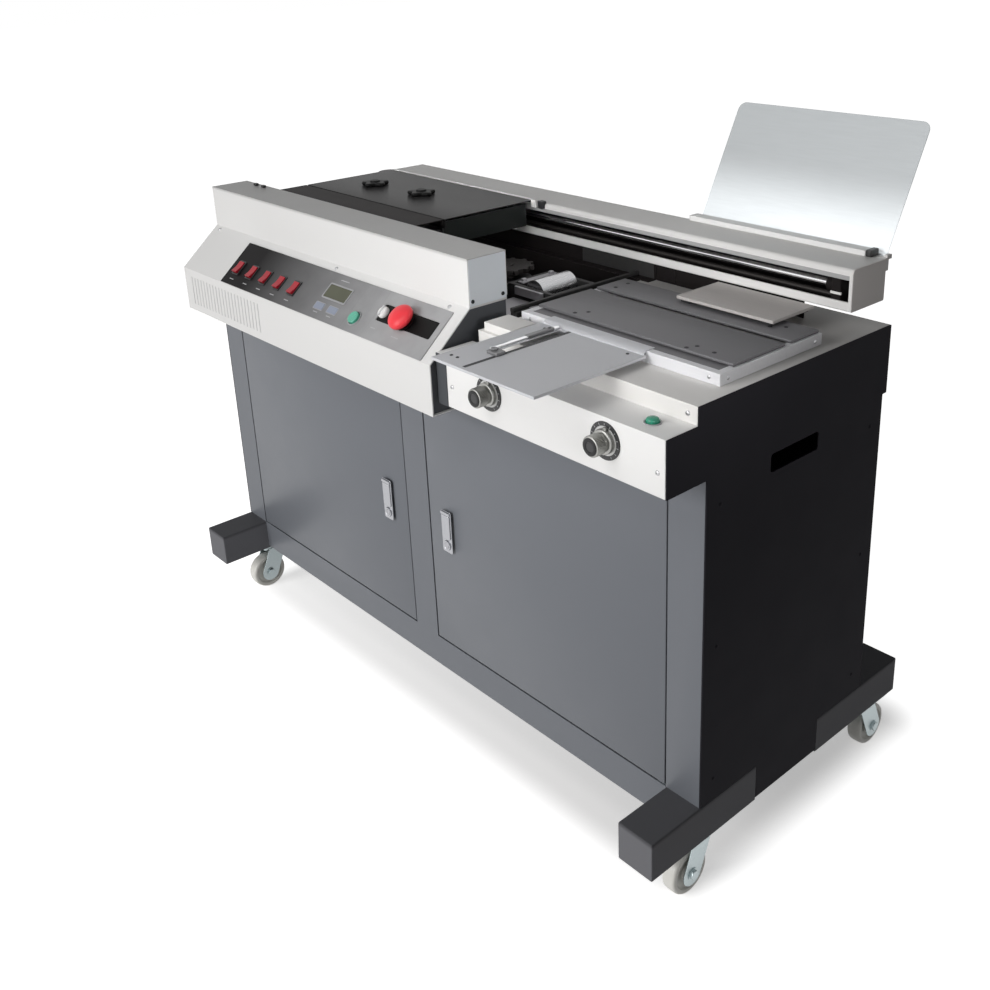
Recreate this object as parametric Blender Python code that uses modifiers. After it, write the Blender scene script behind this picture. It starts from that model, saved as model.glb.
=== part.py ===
# Floor-standing thermal binding machine: a cabinet on four casters, a control console, a nipping table
# and a beam that carries the book clamp from its covered loading place to the table.
# All sizes are metres. Depths are measured from the front plane of the legs, heights from the floor.
import math

import bmesh
import bpy
from mathutils import Matrix, Vector

# Whole machine
machine_length = 1.280
leg_depth = 0.400
head_bottom = 0.684
deck_level = 0.790
shelf_drop = 0.026
head_rear_reach = 0.010
sheet = 0.002
gap = 0.0003
overrun = 0.005

# Casters
caster_height = 0.104
caster_plate_width = 0.060
caster_plate_length = 0.084
caster_plate_thick = 0.003
caster_boss_radius = 0.020
caster_boss_height = 0.009
front_swivel_depth = 0.030
rear_swivel_depth = 0.455
caster_trail = 0.025
wheel_radius = 0.0375
wheel_half_width = 0.0125
wheel_hub_half_width = 0.0135
wheel_hub_radius = 0.013
wheel_rim_radius = 0.029
wheel_web_half_width = 0.008
wheel_edge = 0.003
wheel_steps = 24
axle_radius = 0.005
axle_clearance = 0.0004
axle_head_radius = 0.009
axle_head_height = 0.004
fork_sheet = 0.0025
fork_side_clearance = 0.0012
fork_crown_radius = 0.023
fork_leg_half_width = 0.018
fork_tip_radius = 0.013
fork_tip_start = math.radians(36)
fork_tip_sweep = math.radians(252)

# Feet
foot_width = 0.065
foot_height = 0.064
foot_wall = 0.003
front_foot_reach = 0.100
rear_foot_reach = 0.110
foot_length = 0.228
foot_edge = 0.002

# Cabinet
skirt_lift = 0.006
post_width = 0.057
post_depth = 0.040
post_wall = 0.0025
rail_size = 0.020
deck_sheet = 0.005
stile_width = 0.062
door_head_margin = 0.0265
door_gap = 0.0025
door_thick = 0.018
door_sheet = 0.0015
door_edge = 0.0012
hinge_inset = 0.008
hinge_pin_radius = 0.003
hinge_pin_clearance = 0.0004
hinge_pin_engage = 0.010
hinge_block_width = 0.016
hinge_block_depth = 0.013
hinge_block_height = 0.015
hinge_strip_thick = 0.0028
hinge_clearance = 0.0007
latch_inset = 0.034
latch_width = 0.036
latch_height = 0.078
latch_centre = 0.400
latch_thick = 0.003
latch_stand_off = 0.0005
latch_corner = 0.003
vent_slot_length = 0.090
vent_slot_height = 0.008
vent_pitch_x = 0.120
vent_pitch_z = 0.022
vent_columns = 3
vent_rows = 5
vent_centre_height = 0.330
vent_offset = 0.330

# Side panels
hand_slot_front = 0.132
hand_slot_length = 0.108
hand_slot_height = 0.028
hand_slot_drop = 0.008
hand_slot_corner = 0.005

# Apron and shelf
apron_reach = 0.076
shelf_depth = 0.058
shelf_lap = 0.010
shelf_button_inset = 0.050
shelf_button_depth = -0.047
shelf_button_radius = 0.009
shelf_button_stand = 0.004
shelf_button_stem = 0.012
shelf_button_clearance = 0.0006
left_knob_inset = 0.334
right_knob_inset = 0.104
knob_drop = 0.032
knob_collar_radius = 0.017
knob_collar_length = 0.007
knob_grip_radius = 0.014
knob_waist_radius = 0.012
knob_waist_length = 0.003
knob_length = 0.027
knob_edge = 0.0015
dial_radius = 0.026
dial_thick = 0.0012

# Console
console_margin = 0.040
apron_length = 0.454
console_reach = 0.089
console_skirt = 0.020
console_front_height = 0.082
console_brow_depth = -0.010
console_slope_rise = 0.069
console_box_height = 0.075
console_back = 0.064
console_back_drop = 0.070
console_end_inset = 0.004
grille_inset = 0.028
grille_width = 0.262
grille_slots = 22
grille_slot_width = 0.0035
grille_margin = 0.014

# Control panel, measured on the slope: across, and up from the console's fold
panel_left_margin = 0.149
panel_right_margin = 0.017
panel_low = 0.001
panel_high = 0.0905
panel_thick = 0.0015
rocker_count = 5
rocker_up = 0.037
rocker_width = 0.020
rocker_half_length = 0.014
rocker_tilt_room = 0.0013
rocker_thin = 0.0042
rocker_thick = 0.0068
display_up = 0.0555
display_width = 0.074
display_height = 0.029
display_thick = 0.001
start_up = 0.026
start_radius = 0.011
start_stand = 0.006
stop_up = 0.050
stop_radius = 0.020
stop_stem_radius = 0.009
stop_stem_stand = 0.012
stop_head_height = 0.016
button_clearance = 0.0006
button_depth_behind = 0.009
button_edge = 0.0015

# Beam over the rear of the table
beam_left_margin = 0.142
beam_right_margin = 0.021
beam_depth = 0.084
beam_back_reach = 0.018
beam_lift = 0.031
beam_height = 0.063
beam_wall = 0.003
beam_lower_lip = 0.014
beam_upper_lip = 0.016
beam_cap = 0.003
rod_setback = 0.026
upper_rod_lift = 0.029
lower_rod_lift = 0.0125
upper_rod_radius = 0.006
lower_rod_radius = 0.0045
rod_clearance = 0.0005
rod_block_length = 0.016
rod_block_depth = 0.046
rod_block_height = 0.048
rod_block_inset = 0.018
right_bracket_inset = 0.364
left_bracket_inset = 0.058
bracket_width = 0.070
bracket_depth = 0.072

# Book clamp
jaw_margin = 0.060
jaw_length = 0.360
jaw_face_depth = 0.206
jaw_thick = 0.020
jaw_height = 0.040
jaw_drop = 0.008
front_jaw_thick = 0.025
jaw_opening = 0.015
jaw_travel_out = 0.024
jaw_pin_radius = 0.005
jaw_pin_inset = 0.015
jaw_pin_clearance = 0.0005
jaw_pin_spare = 0.004
jaw_end_plate = 0.003
jaw_end_clearance = 0.0004
jaw_end_front = 0.138
jaw_end_clearance_back = 0.0045
arm_width = 0.030
arm_inset = 0.060
arm_lift = 0.008
arm_thick = 0.010
slider_length = 0.220
slider_front_gap = 0.004
slider_depth = 0.046
slider_floor_gap = 0.0015
slider_height = 0.046

# Clamp cover and the strip in front of it
cover_margin = 0.008
cover_length = 0.435
cover_rise = 0.002
cover_front = 0.1345
cover_lip = 0.014
cover_sheet = 0.0015
cover_axis_gap = 0.0035
cover_barrel_radius = 0.0025
cover_lug_width = 0.006
surround_front_back = 0.131
surround_leg = 0.056
surround_lip = 0.010

# Nipping table
frame_left_margin = 0.048
frame_right_margin = 0.024
frame_front = 0.050
frame_back = 0.270
frame_height = 0.017
frame_bar = 0.012
nip_inset = 0.004
nip_plate_thick = 0.004
front_nip_front = 0.081
front_nip_back = 0.1915
rear_nip_front = 0.204
rear_nip_back = 0.268
nip_edge = 0.0006
support_inset = 0.146
support_width = 0.180
support_depth = 0.098
support_gap = 0.004
support_height = 0.009
support_sheet = 0.0015
bay_right_margin = 0.0285
bay_left_margin = 0.038
bay_back = 0.330
side_strip_front = 0.066
rest_block_margin = 0.0075
rest_block_width = 0.060
rest_block_front = -0.012
rest_block_back = 0.035
rest_block_height = 0.013

# Cover plate and its sliding gauge
cover_plate_inset = 0.051
cover_plate_width = 0.208
cover_plate_reach = 0.156
cover_plate_back = 0.045
cover_plate_height = 0.013
cover_plate_sheet = 0.0015
gauge_slot_inset = 0.045
gauge_slot_width = 0.014
gauge_slot_front = -0.095
gauge_slot_back = 0.038
gauge_width = 0.038
gauge_length = 0.024
gauge_thick = 0.006
gauge_stem_length = 0.010
gauge_stem_width = 0.011
gauge_stem_drop = 0.006
gauge_knob_radius = 0.008
gauge_knob_height = 0.009

# Glue and milling stations
tank_margin = 0.0195
tank_width = 0.110
tank_front = 0.150
tank_back = 0.246
tank_rise = 0.010
tank_wall = 0.008
tank_depth = 0.060
roller_radius = 0.0215
roller_drop = 0.0095
roller_side_clearance = 0.002
roller_shaft_radius = 0.005
roller_shaft_clearance = 0.0005
roller_shaft_stand = 0.004
cutter_to_tank = 0.055
cutter_depth = 0.198
cutter_radius = 0.045
cutter_root_radius = 0.039
cutter_teeth = 12
cutter_thick = 0.008
cutter_rise = 0.020
cutter_tip_share = 0.35
cutter_gullet_start_share = 0.45
cutter_gullet_end_share = 0.95
cutter_hub_radius = 0.012
mill_motor_radius = 0.043
mill_motor_drop = 0.002
carriage_motor_margin = 0.084
carriage_motor_back_margin = 0.028
carriage_motor_radius = 0.026
carriage_motor_height = 0.078

# Back plate
plate_margin = 0.008
plate_width = 0.354
plate_height = 0.205
plate_thick = 0.002
plate_corner = 0.014
plate_lean = math.radians(28)
plate_axis_gap = 0.0135
plate_barrel_radius = 0.0035
hinge_rail_thick = 0.009
hinge_rail_height = 0.020
hinge_lug_width = 0.006

# Numbers of flat sides on round pieces
round_steps = 32
small_steps = 16
arc_steps = 6

# Shares of the panel's length at which the first rocker, the display and the two buttons have their middles
first_rocker_share = 0.045
last_rocker_share = 0.354
display_share = 0.542
start_share = 0.671
stop_share = 0.856

# Places worked out from the sizes above: feet and cabinet
half_length = machine_length / 2
foot_top = caster_height + foot_height
cabinet_bottom = caster_height + skirt_lift
head_back = leg_depth + head_rear_reach
foot_inner = half_length - foot_width
post_inner = half_length - sheet - gap - post_width
door_sill = foot_top
door_head = head_bottom - door_head_margin
shelf_level = deck_level - shelf_drop
knob_height = shelf_level - knob_drop
left_knob_across = half_length - left_knob_inset
right_knob_across = half_length - right_knob_inset
shelf_button_across = half_length - shelf_button_inset
hand_slot_top = head_bottom - hand_slot_drop
riser_depth = shelf_depth - apron_reach

# Console and panel
console_left = console_margin - half_length
console_right = half_length - apron_length
console_bottom = head_bottom - console_skirt
console_fold = console_bottom + console_front_height
console_brow = console_fold + console_slope_rise
console_top = console_brow + console_box_height
slope_angle = math.atan2(console_slope_rise, console_brow_depth + console_reach)
panel_left = console_left + panel_left_margin
panel_right = console_right - panel_right_margin
panel_length = panel_right - panel_left
display_centre = panel_left + display_share * panel_length
start_across = panel_left + start_share * panel_length
stop_across = panel_left + stop_share * panel_length

# Beam and clamp
beam_left = beam_left_margin - half_length
beam_right = half_length - beam_right_margin
beam_back = leg_depth + beam_back_reach
beam_front = beam_back - beam_depth
beam_bottom = deck_level + beam_lift
beam_top = beam_bottom + beam_height
beam_slot_low = beam_bottom + beam_lower_lip
beam_slot_high = beam_top - beam_upper_lip
rod_depth = beam_front + rod_setback
upper_rod_height = beam_bottom + upper_rod_lift
lower_rod_height = beam_bottom + lower_rod_lift
left_bracket_across = beam_left + left_bracket_inset
right_bracket_across = beam_right - right_bracket_inset
cover_left = beam_left + cover_margin
cover_right = cover_left + cover_length
cover_level = beam_top + cover_rise
cover_axis_depth = beam_front - cover_axis_gap
cover_axis_height = cover_level - cover_barrel_radius
jaw_left = cover_left + jaw_margin
jaw_right = jaw_left + jaw_length
jaw_top = cover_level - jaw_drop
jaw_bottom = jaw_top - jaw_height
jaw_pin_height = (jaw_top + jaw_bottom) / 2
jaw_end_back = cover_axis_depth - jaw_end_clearance_back
arm_bottom = jaw_bottom + arm_lift
slider_front = beam_front + beam_wall + slider_front_gap
slider_bottom = beam_bottom + beam_wall + slider_floor_gap

# Table, cover plate, stations and back plate
bay_left = bay_left_margin - half_length
bay_right = console_right + bay_right_margin
rest_block_left = bay_right + rest_block_margin
frame_left = console_right + frame_left_margin
frame_right = half_length - frame_right_margin
nip_left = frame_left + nip_inset
nip_right = frame_right - nip_inset
support_left = frame_left + support_inset
support_back = beam_front - support_gap
support_front = support_back - support_depth
cover_plate_left = frame_left + cover_plate_inset
cover_plate_top = deck_level + cover_plate_height
gauge_slot_left = cover_plate_left + gauge_slot_inset
tank_right = bay_right - tank_margin
tank_left = tank_right - tank_width
tank_top = deck_level + tank_rise
roller_height = tank_top - roller_drop
cutter_across = tank_left - cutter_to_tank
cutter_top = deck_level + cutter_rise
cutter_bottom = cutter_top - cutter_thick
mill_motor_top = deck_level - mill_motor_drop
carriage_motor_across = carriage_motor_margin - half_length
carriage_motor_depth = leg_depth - carriage_motor_back_margin
plate_right = beam_right - plate_margin
plate_left = plate_right - plate_width
plate_axis_depth = beam_back + plate_axis_gap
plate_axis_height = beam_top
plate_reach = plate_height * math.sin(plate_lean) + plate_thick / 2 * math.cos(plate_lean)
rearmost = plate_axis_depth + plate_reach
middle_depth = (rearmost - cover_plate_reach) / 2

for old in list(bpy.data.objects):
    bpy.data.objects.remove(old, do_unlink=True)

machine = bpy.data.collections.new("thermal_binding_machine")
cutters = bpy.data.collections.new("cutters")
bpy.context.scene.collection.children.link(machine)
bpy.context.scene.collection.children.link(cutters)

ground_centre = bpy.data.objects.new("ground_centre", None)
machine.objects.link(ground_centre)
ground_centre.location = (0, -middle_depth, 0)


def material(name, colour, roughness, metallic):
    """A Principled material."""
    made = bpy.data.materials.new(name)
    made.use_nodes = True
    shader = made.node_tree.nodes["Principled BSDF"]
    shader.inputs["Base Color"].default_value = (*colour, 1)
    shader.inputs["Roughness"].default_value = roughness
    shader.inputs["Metallic"].default_value = metallic
    return made


grey_paint = material("grey_paint", (0.150, 0.158, 0.170), 0.45, 0)
charcoal_paint = material("charcoal_paint", (0.022, 0.022, 0.025), 0.50, 0)
white_paint = material("white_paint", (0.800, 0.800, 0.790), 0.42, 0)
dark_plate = material("dark_plate", (0.045, 0.047, 0.052), 0.38, 0)
overlay = material("overlay", (0.070, 0.072, 0.078), 0.40, 0)
aluminium = material("aluminium", (0.620, 0.625, 0.635), 0.35, 1)
dark_steel = material("dark_steel", (0.200, 0.200, 0.205), 0.38, 1)
bright_steel = material("bright_steel", (0.720, 0.720, 0.730), 0.18, 1)
zinc = material("zinc", (0.560, 0.600, 0.620), 0.35, 1)
wheel_plastic = material("wheel_plastic", (0.640, 0.620, 0.560), 0.50, 0)
smoked_plastic = material("smoked_plastic", (0.012, 0.012, 0.013), 0.12, 0)
red_plastic = material("red_plastic", (0.620, 0.020, 0.025), 0.30, 0)
green_plastic = material("green_plastic", (0.030, 0.330, 0.200), 0.30, 0)
black_plastic = material("black_plastic", (0.015, 0.015, 0.016), 0.45, 0)
plate_metal = material("plate_metal", (0.640, 0.690, 0.710), 0.32, 1)


def finish(mesh, name, surface=None, group=machine):
    """An object of this mesh, hung on the empty under the machine's middle."""
    made = bpy.data.objects.new(name, mesh)
    group.objects.link(made)
    made.parent = ground_centre
    if surface:
        mesh.materials.clear()
        mesh.materials.append(surface)
    return made


def cube_into(mesh_in_work, x, y, z):
    """One box between two x, two y and two z."""
    corners = bmesh.ops.create_cube(mesh_in_work, size=1)["verts"]
    size = Vector((x[1] - x[0], y[1] - y[0], z[1] - z[0]))
    middle = Vector((x[0] + x[1], y[0] + y[1], z[0] + z[1])) / 2
    bmesh.ops.transform(mesh_in_work, verts=corners,
                        matrix=Matrix.Translation(middle) @ Matrix.Diagonal((*size, 1)))


def boxes(name, spans, surface=None, group=machine, edge=0):
    """One object of separate boxes, each given by its x, y and z spans."""
    work = bmesh.new()
    for x, y, z in spans:
        cube_into(work, x, y, z)
    mesh = bpy.data.meshes.new(name)
    work.to_mesh(mesh)
    work.free()
    made = finish(mesh, name, surface, group)
    if edge:
        round_edges(made, edge)
    return made


def round_edges(made, width, segments=2):
    """Rounds every sharp edge of an object."""
    bevel = made.modifiers.new("edges", "BEVEL")
    bevel.width = width
    bevel.segments = segments
    bevel.limit_method = "ANGLE"
    bevel.angle_limit = math.radians(40)
    return made


def cylinders(name, spans, surface=None, group=machine, steps=small_steps):
    """One object of separate cylinders, each given by start, end and radius."""
    work = bmesh.new()
    for start, end, radius in spans:
        start, end = Vector(start), Vector(end)
        along = end - start
        turn = Vector((0, 0, 1)).rotation_difference(along).to_matrix().to_4x4()
        half_turn = Matrix.Rotation(math.pi / steps, 4, "Z")
        bmesh.ops.create_cone(work, cap_ends=True, segments=steps, radius1=radius, radius2=radius,
                              depth=along.length,
                              matrix=Matrix.Translation((start + end) / 2) @ turn @ half_turn)
    mesh = bpy.data.meshes.new(name)
    work.to_mesh(mesh)
    work.free()
    made = finish(mesh, name, surface, group)
    mesh.shade_smooth()
    mesh.set_sharp_from_angle(angle=math.radians(40))
    return made


def cutter(made):
    """Sets an object aside as a tool for cutting or joining."""
    made.hide_render = True
    made.display_type = "WIRE"
    return made


def combine(made, tool, operation):
    """Cuts the tool from an object, or joins it to the object."""
    boolean = made.modifiers.new(operation.lower(), "BOOLEAN")
    boolean.object = cutter(tool)
    boolean.operation = operation
    boolean.solver = "EXACT"
    return made


def cut_boxes(made, spans):
    return combine(made, boxes(made.name + "_pocket", spans, group=cutters), "DIFFERENCE")


def join_boxes(made, spans):
    return combine(made, boxes(made.name + "_joined", spans, group=cutters), "UNION")


def cut_cylinders(made, spans, steps=small_steps):
    return combine(made, cylinders(made.name + "_bore", spans, group=cutters, steps=steps), "DIFFERENCE")


def join_cylinders(made, spans, steps=small_steps):
    return combine(made, cylinders(made.name + "_round", spans, group=cutters, steps=steps), "UNION")


def settled(made):
    """Applies an object's modifiers and keeps its evaluated mesh."""
    graph = bpy.context.evaluated_depsgraph_get()
    mesh = bpy.data.meshes.new_from_object(made.evaluated_get(graph))
    made.modifiers.clear()
    made.data = mesh
    return made


def outline(name, loops, thickness, placing, surface=None, group=machine):
    """A flat outline with holes, extruded to a thickness and placed by a matrix."""
    curve = bpy.data.curves.new(name, "CURVE")
    curve.dimensions = "2D"
    curve.fill_mode = "BOTH"
    curve.extrude = thickness / 2
    for loop in loops:
        spline = curve.splines.new("POLY")
        spline.points.add(len(loop) - 1)
        for point, (across, up) in zip(spline.points, loop):
            point.co = (across, up, 0, 1)
        spline.use_cyclic_u = True
    flat = bpy.data.objects.new(name, curve)
    bpy.context.scene.collection.objects.link(flat)
    flat.matrix_world = placing
    graph = bpy.context.evaluated_depsgraph_get()
    graph.update()
    mesh = bpy.data.meshes.new_from_object(flat.evaluated_get(graph))
    work = bmesh.new()
    work.from_mesh(mesh)
    bmesh.ops.remove_doubles(work, verts=work.verts, dist=gap / 10)
    bmesh.ops.transform(work, matrix=placing, verts=work.verts)
    bmesh.ops.recalc_face_normals(work, faces=work.faces)
    work.to_mesh(mesh)
    work.free()
    bpy.data.objects.remove(flat, do_unlink=True)
    return finish(mesh, name, surface, group)


# An outline of depths and heights stands across the machine; one of across and height faces the front
def facing_side(x):
    return Matrix(((0, 0, 1, x), (1, 0, 0, 0), (0, 1, 0, 0), (0, 0, 0, 1)))


def facing_front(y):
    return Matrix(((1, 0, 0, 0), (0, 0, -1, y), (0, 1, 0, 0), (0, 0, 0, 1)))


def facing_up(z):
    return Matrix.Translation((0, 0, z))


def rectangle(x, y, corner=0):
    """The four corners of a rectangle, or its outline with round corners."""
    if not corner:
        return [(x[0], y[0]), (x[1], y[0]), (x[1], y[1]), (x[0], y[1])]
    points = []
    centres = [(x[1] - corner, y[0] + corner, -90), (x[1] - corner, y[1] - corner, 0),
               (x[0] + corner, y[1] - corner, 90), (x[0] + corner, y[0] + corner, 180)]
    for across, up, start in centres:
        for step in range(arc_steps + 1):
            turn = math.radians(start + 90 * step / arc_steps)
            points.append((across + corner * math.cos(turn), up + corner * math.sin(turn)))
    return points


def folded_sheet(name, profile, x, thickness, surface):
    """A sheet folded along a line of depths and heights, its wall inside the line."""
    work = bmesh.new()
    rows = [[work.verts.new((across, y, z)) for y, z in profile] for across in x]
    for index in range(len(profile) - 1):
        work.faces.new((rows[0][index], rows[1][index], rows[1][index + 1], rows[0][index + 1]))
    mesh = bpy.data.meshes.new(name)
    work.to_mesh(mesh)
    work.free()
    made = finish(mesh, name, surface)
    wall = made.modifiers.new("wall", "SOLIDIFY")
    wall.thickness = thickness
    wall.offset = -1
    wall.use_even_offset = True
    return made


def turned(name, profile, placing, surface, steps=round_steps, ring=False):
    """A profile of radii and heights, turned about its own Z; a ring's profile closes on itself."""
    mesh = bpy.data.meshes.new(name)
    points = [(radius, 0, height) for radius, height in profile]
    edges = list(zip(range(len(points)), range(1, len(points))))
    if ring:
        edges.append((len(edges), 0))
    mesh.from_pydata(points, edges, [])
    made = finish(mesh, name, surface)
    made.matrix_local = placing
    screw = made.modifiers.new("turn", "SCREW")
    screw.axis = "Z"
    screw.steps = steps
    screw.render_steps = steps
    screw.use_merge_vertices = True
    screw.merge_threshold = gap / 10
    screw.use_smooth_shade = False
    settled(made)
    made.data.shade_smooth()
    made.data.set_sharp_from_angle(angle=math.radians(35))
    made.data.materials.clear()
    made.data.materials.append(surface)
    return made


def pivot_at(made, place):
    """Moves an object's origin to its joint's axis and leaves the mesh where it is."""
    settled(made)
    shift = made.matrix_local.inverted() @ Vector(place)
    made.data.transform(Matrix.Translation(-shift))
    made.location = place
    return made


def both_sides(x):
    """The same span on the left and the right."""
    return [(-x[1], -x[0]), x]


# Feet: a steel box beam under each end, set back in its middle for the side panel, with the casters' plates
def caster_plate_levels():
    """The heights of a caster plate's top and bottom, and of its bearing boss's bottom."""
    plate_low = caster_height - caster_plate_thick
    return caster_height, plate_low, plate_low - caster_boss_height


def build_feet():
    back = leg_depth + rear_foot_reach
    behind = (foot_length - front_foot_reach, back - foot_length)
    recess = sheet + gap
    plate_top, plate_low, boss_low = caster_plate_levels()
    across = half_length - foot_width / 2
    for side, name in ((-1, "left_foot"), (1, "right_foot")):
        x = sorted((side * foot_inner, side * half_length))
        foot = boxes(name, [(x, (-front_foot_reach, back), (caster_height, foot_top))], charcoal_paint)
        round_edges(foot, foot_edge)
        outer = sorted((side * (half_length - recess), side * (half_length + overrun)))
        cut_boxes(foot, [(outer, behind, (caster_height - overrun, foot_top + overrun))])
        hollow = sorted((side * (foot_inner + foot_wall), side * (half_length - recess - foot_wall)))
        cut_boxes(foot, [(hollow, (-front_foot_reach + foot_wall, back + overrun),
                          (caster_height + foot_wall, foot_top - foot_wall))])
        x = side * across
        plate_x = (x - caster_plate_width / 2, x + caster_plate_width / 2)
        plate_z = (plate_low, plate_top + foot_wall / 2)
        boss_top = plate_low + caster_plate_thick / 2
        for y in (front_swivel_depth, rear_swivel_depth):
            join_boxes(foot, [(plate_x, (y - caster_plate_length / 2, y + caster_plate_length / 2), plate_z)])
            join_cylinders(foot, [((x, y, boss_low), (x, y, boss_top), caster_boss_radius)], round_steps)


# Casters: a swivelling fork and a wheel under each end of each foot
def build_casters():
    across = half_length - foot_width / 2
    swivels = {"front_left": (-across, front_swivel_depth, -1),
               "front_right": (across, front_swivel_depth, -1),
               "rear_left": (-across, rear_swivel_depth, 1),
               "rear_right": (across, rear_swivel_depth, 1)}
    boss_low = caster_plate_levels()[2]
    crown_top = boss_low - gap
    crown_low = crown_top - fork_sheet
    axle_height = wheel_radius * math.cos(math.pi / wheel_steps)
    drop = crown_top - axle_height
    leg_inner = wheel_hub_half_width + fork_side_clearance
    leg_outer = leg_inner + fork_sheet
    # The fork stands at its own origin: swivel axis on Z, crown's top at zero, wheel towards +Y
    leg = [(-fork_leg_half_width, 0), (fork_leg_half_width, 0)]
    for step in range(2 * arc_steps + 1):
        turn = fork_tip_start - fork_tip_sweep * step / (2 * arc_steps)
        leg.append((caster_trail + fork_tip_radius * math.cos(turn),
                    -drop + fork_tip_radius * math.sin(turn)))
    leg_middle = leg_inner + fork_sheet / 2
    left_leg = outline("fork_left_leg", [leg], fork_sheet, facing_side(-leg_middle), group=cutters)
    right_leg = outline("fork_right_leg", [leg], fork_sheet, facing_side(leg_middle), group=cutters)
    crown = boxes("fork_crown", [((-leg_outer, leg_outer), (-fork_leg_half_width, fork_leg_half_width),
                                  (-fork_sheet, 0))], group=cutters)
    for tool in (left_leg, right_leg):
        combine(crown, tool, "UNION")
    join_cylinders(crown, [((0, 0, -fork_sheet), (0, 0, 0), fork_crown_radius)], round_steps)
    axle_out = leg_outer + axle_head_height
    join_cylinders(crown, [((-axle_out, caster_trail, -drop), (axle_out, caster_trail, -drop), axle_radius)])
    join_cylinders(crown, [((side * leg_outer - side * fork_sheet / 2, caster_trail, -drop),
                            (side * axle_out, caster_trail, -drop), axle_head_radius) for side in (-1, 1)])
    fork_mesh = settled(cutter(crown)).data
    fork_mesh.materials.clear()
    fork_mesh.materials.append(zinc)

    bore = axle_radius + axle_clearance
    half = [(bore, wheel_hub_half_width), (wheel_hub_radius, wheel_hub_half_width),
            (wheel_hub_radius + wheel_edge, wheel_web_half_width),
            (wheel_rim_radius - wheel_edge, wheel_web_half_width),
            (wheel_rim_radius, wheel_half_width), (wheel_radius - wheel_edge, wheel_half_width),
            (wheel_radius, wheel_half_width - wheel_edge)]
    profile = half + [(radius, -height) for radius, height in reversed(half)]
    sideways = Matrix.Rotation(math.pi / 2, 4, "Y") @ Matrix.Rotation(math.pi / wheel_steps, 4, "Z")
    for place, (x, y, trail) in swivels.items():
        fork = finish(fork_mesh, "caster_fork_" + place)
        fork.location = (x, y, crown_top)
        if trail < 0:
            fork.rotation_euler.z = math.pi
        at_axle = Matrix.Translation((x, y + trail * caster_trail, axle_height))
        turned("caster_wheel_" + place, profile, at_axle @ sideways, wheel_plastic, wheel_steps, ring=True)


# Cabinet: inner frame, floor, top deck, front frame, back panel and the two side panels
def build_cabinet():
    deck_low = head_bottom - deck_sheet
    post_x = (post_inner, post_inner + post_width)
    front_post = (sheet + gap, sheet + gap + post_depth)
    rear_post = (leg_depth - sheet - gap - post_depth, leg_depth - sheet - gap)
    post_z = (foot_top + gap, deck_low - gap)
    columns = [(x, y, post_z) for x in both_sides(post_x) for y in (front_post, rear_post)]
    frame = boxes("cabinet_frame", columns, charcoal_paint)
    rail_z = (post_z[1] - rail_size, post_z[1])
    bite = post_wall / 2
    for y in ((front_post[1] - rail_size, front_post[1]), (rear_post[0], rear_post[0] + rail_size)):
        join_boxes(frame, [((-post_inner - bite, post_inner + bite), y, rail_z)])
    join_boxes(frame, [(x, (front_post[1] - bite, rear_post[0] + bite), rail_z)
                       for x in both_sides((post_inner, post_inner + rail_size))])
    cut_boxes(frame, [((x[0] + post_wall, x[1] - post_wall), (y[0] + post_wall, y[1] - post_wall),
                       (post_z[0] - overrun, post_z[1] + overrun)) for x, y, z in columns])

    inside = half_length - sheet - gap
    boxes("top_deck", [((-inside, inside), (sheet + gap, leg_depth - sheet - gap), (deck_low, head_bottom))],
          charcoal_paint)
    floor_x = foot_inner - gap
    boxes("cabinet_floor", [((-floor_x, floor_x), (sheet + gap, leg_depth - sheet - gap),
                             (cabinet_bottom, cabinet_bottom + sheet))], grey_paint)

    low, high = cabinet_bottom, foot_top + gap
    notched = [(-floor_x, low), (floor_x, low), (floor_x, high), (inside, high), (inside, head_bottom),
               (-inside, head_bottom), (-inside, high), (-floor_x, high)]
    openings = [rectangle((side[0], side[1]), (door_sill, door_head))
                for side in both_sides((stile_width / 2, foot_inner))]
    outline("front_frame", [notched] + openings, sheet, facing_front(sheet / 2), grey_paint)
    slots = []
    for side in (-1, 1):
        for column in range(vent_columns):
            for row in range(vent_rows):
                x = side * vent_offset + (column - (vent_columns - 1) / 2) * vent_pitch_x
                z = vent_centre_height + (row - (vent_rows - 1) / 2) * vent_pitch_z
                slots.append(rectangle((x - vent_slot_length / 2, x + vent_slot_length / 2),
                                       (z - vent_slot_height / 2, z + vent_slot_height / 2)))
    outline("back_panel", [notched] + slots, sheet, facing_front(leg_depth - sheet / 2), grey_paint)

    foot_back = foot_length - front_foot_reach + gap
    foot_front = leg_depth + rear_foot_reach - foot_length - gap
    lower = [(head_back, deck_level), (head_back, head_bottom), (leg_depth, head_bottom),
             (leg_depth, high), (foot_front, high), (foot_front, low), (foot_back, low),
             (foot_back, high), (0, high)]
    right = lower + [(0, head_bottom), (-apron_reach, head_bottom), (-apron_reach, shelf_level),
                     (riser_depth, shelf_level), (riser_depth, deck_level)]
    left = lower + [(0, deck_level)]
    slot = rectangle((hand_slot_front, hand_slot_front + hand_slot_length),
                     (hand_slot_top - hand_slot_height, hand_slot_top), hand_slot_corner)
    outline("right_side_panel", [right, slot], sheet, facing_side(half_length - sheet / 2), charcoal_paint)
    outline("left_side_panel", [left, slot], sheet, facing_side(-half_length + sheet / 2), charcoal_paint)


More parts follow.
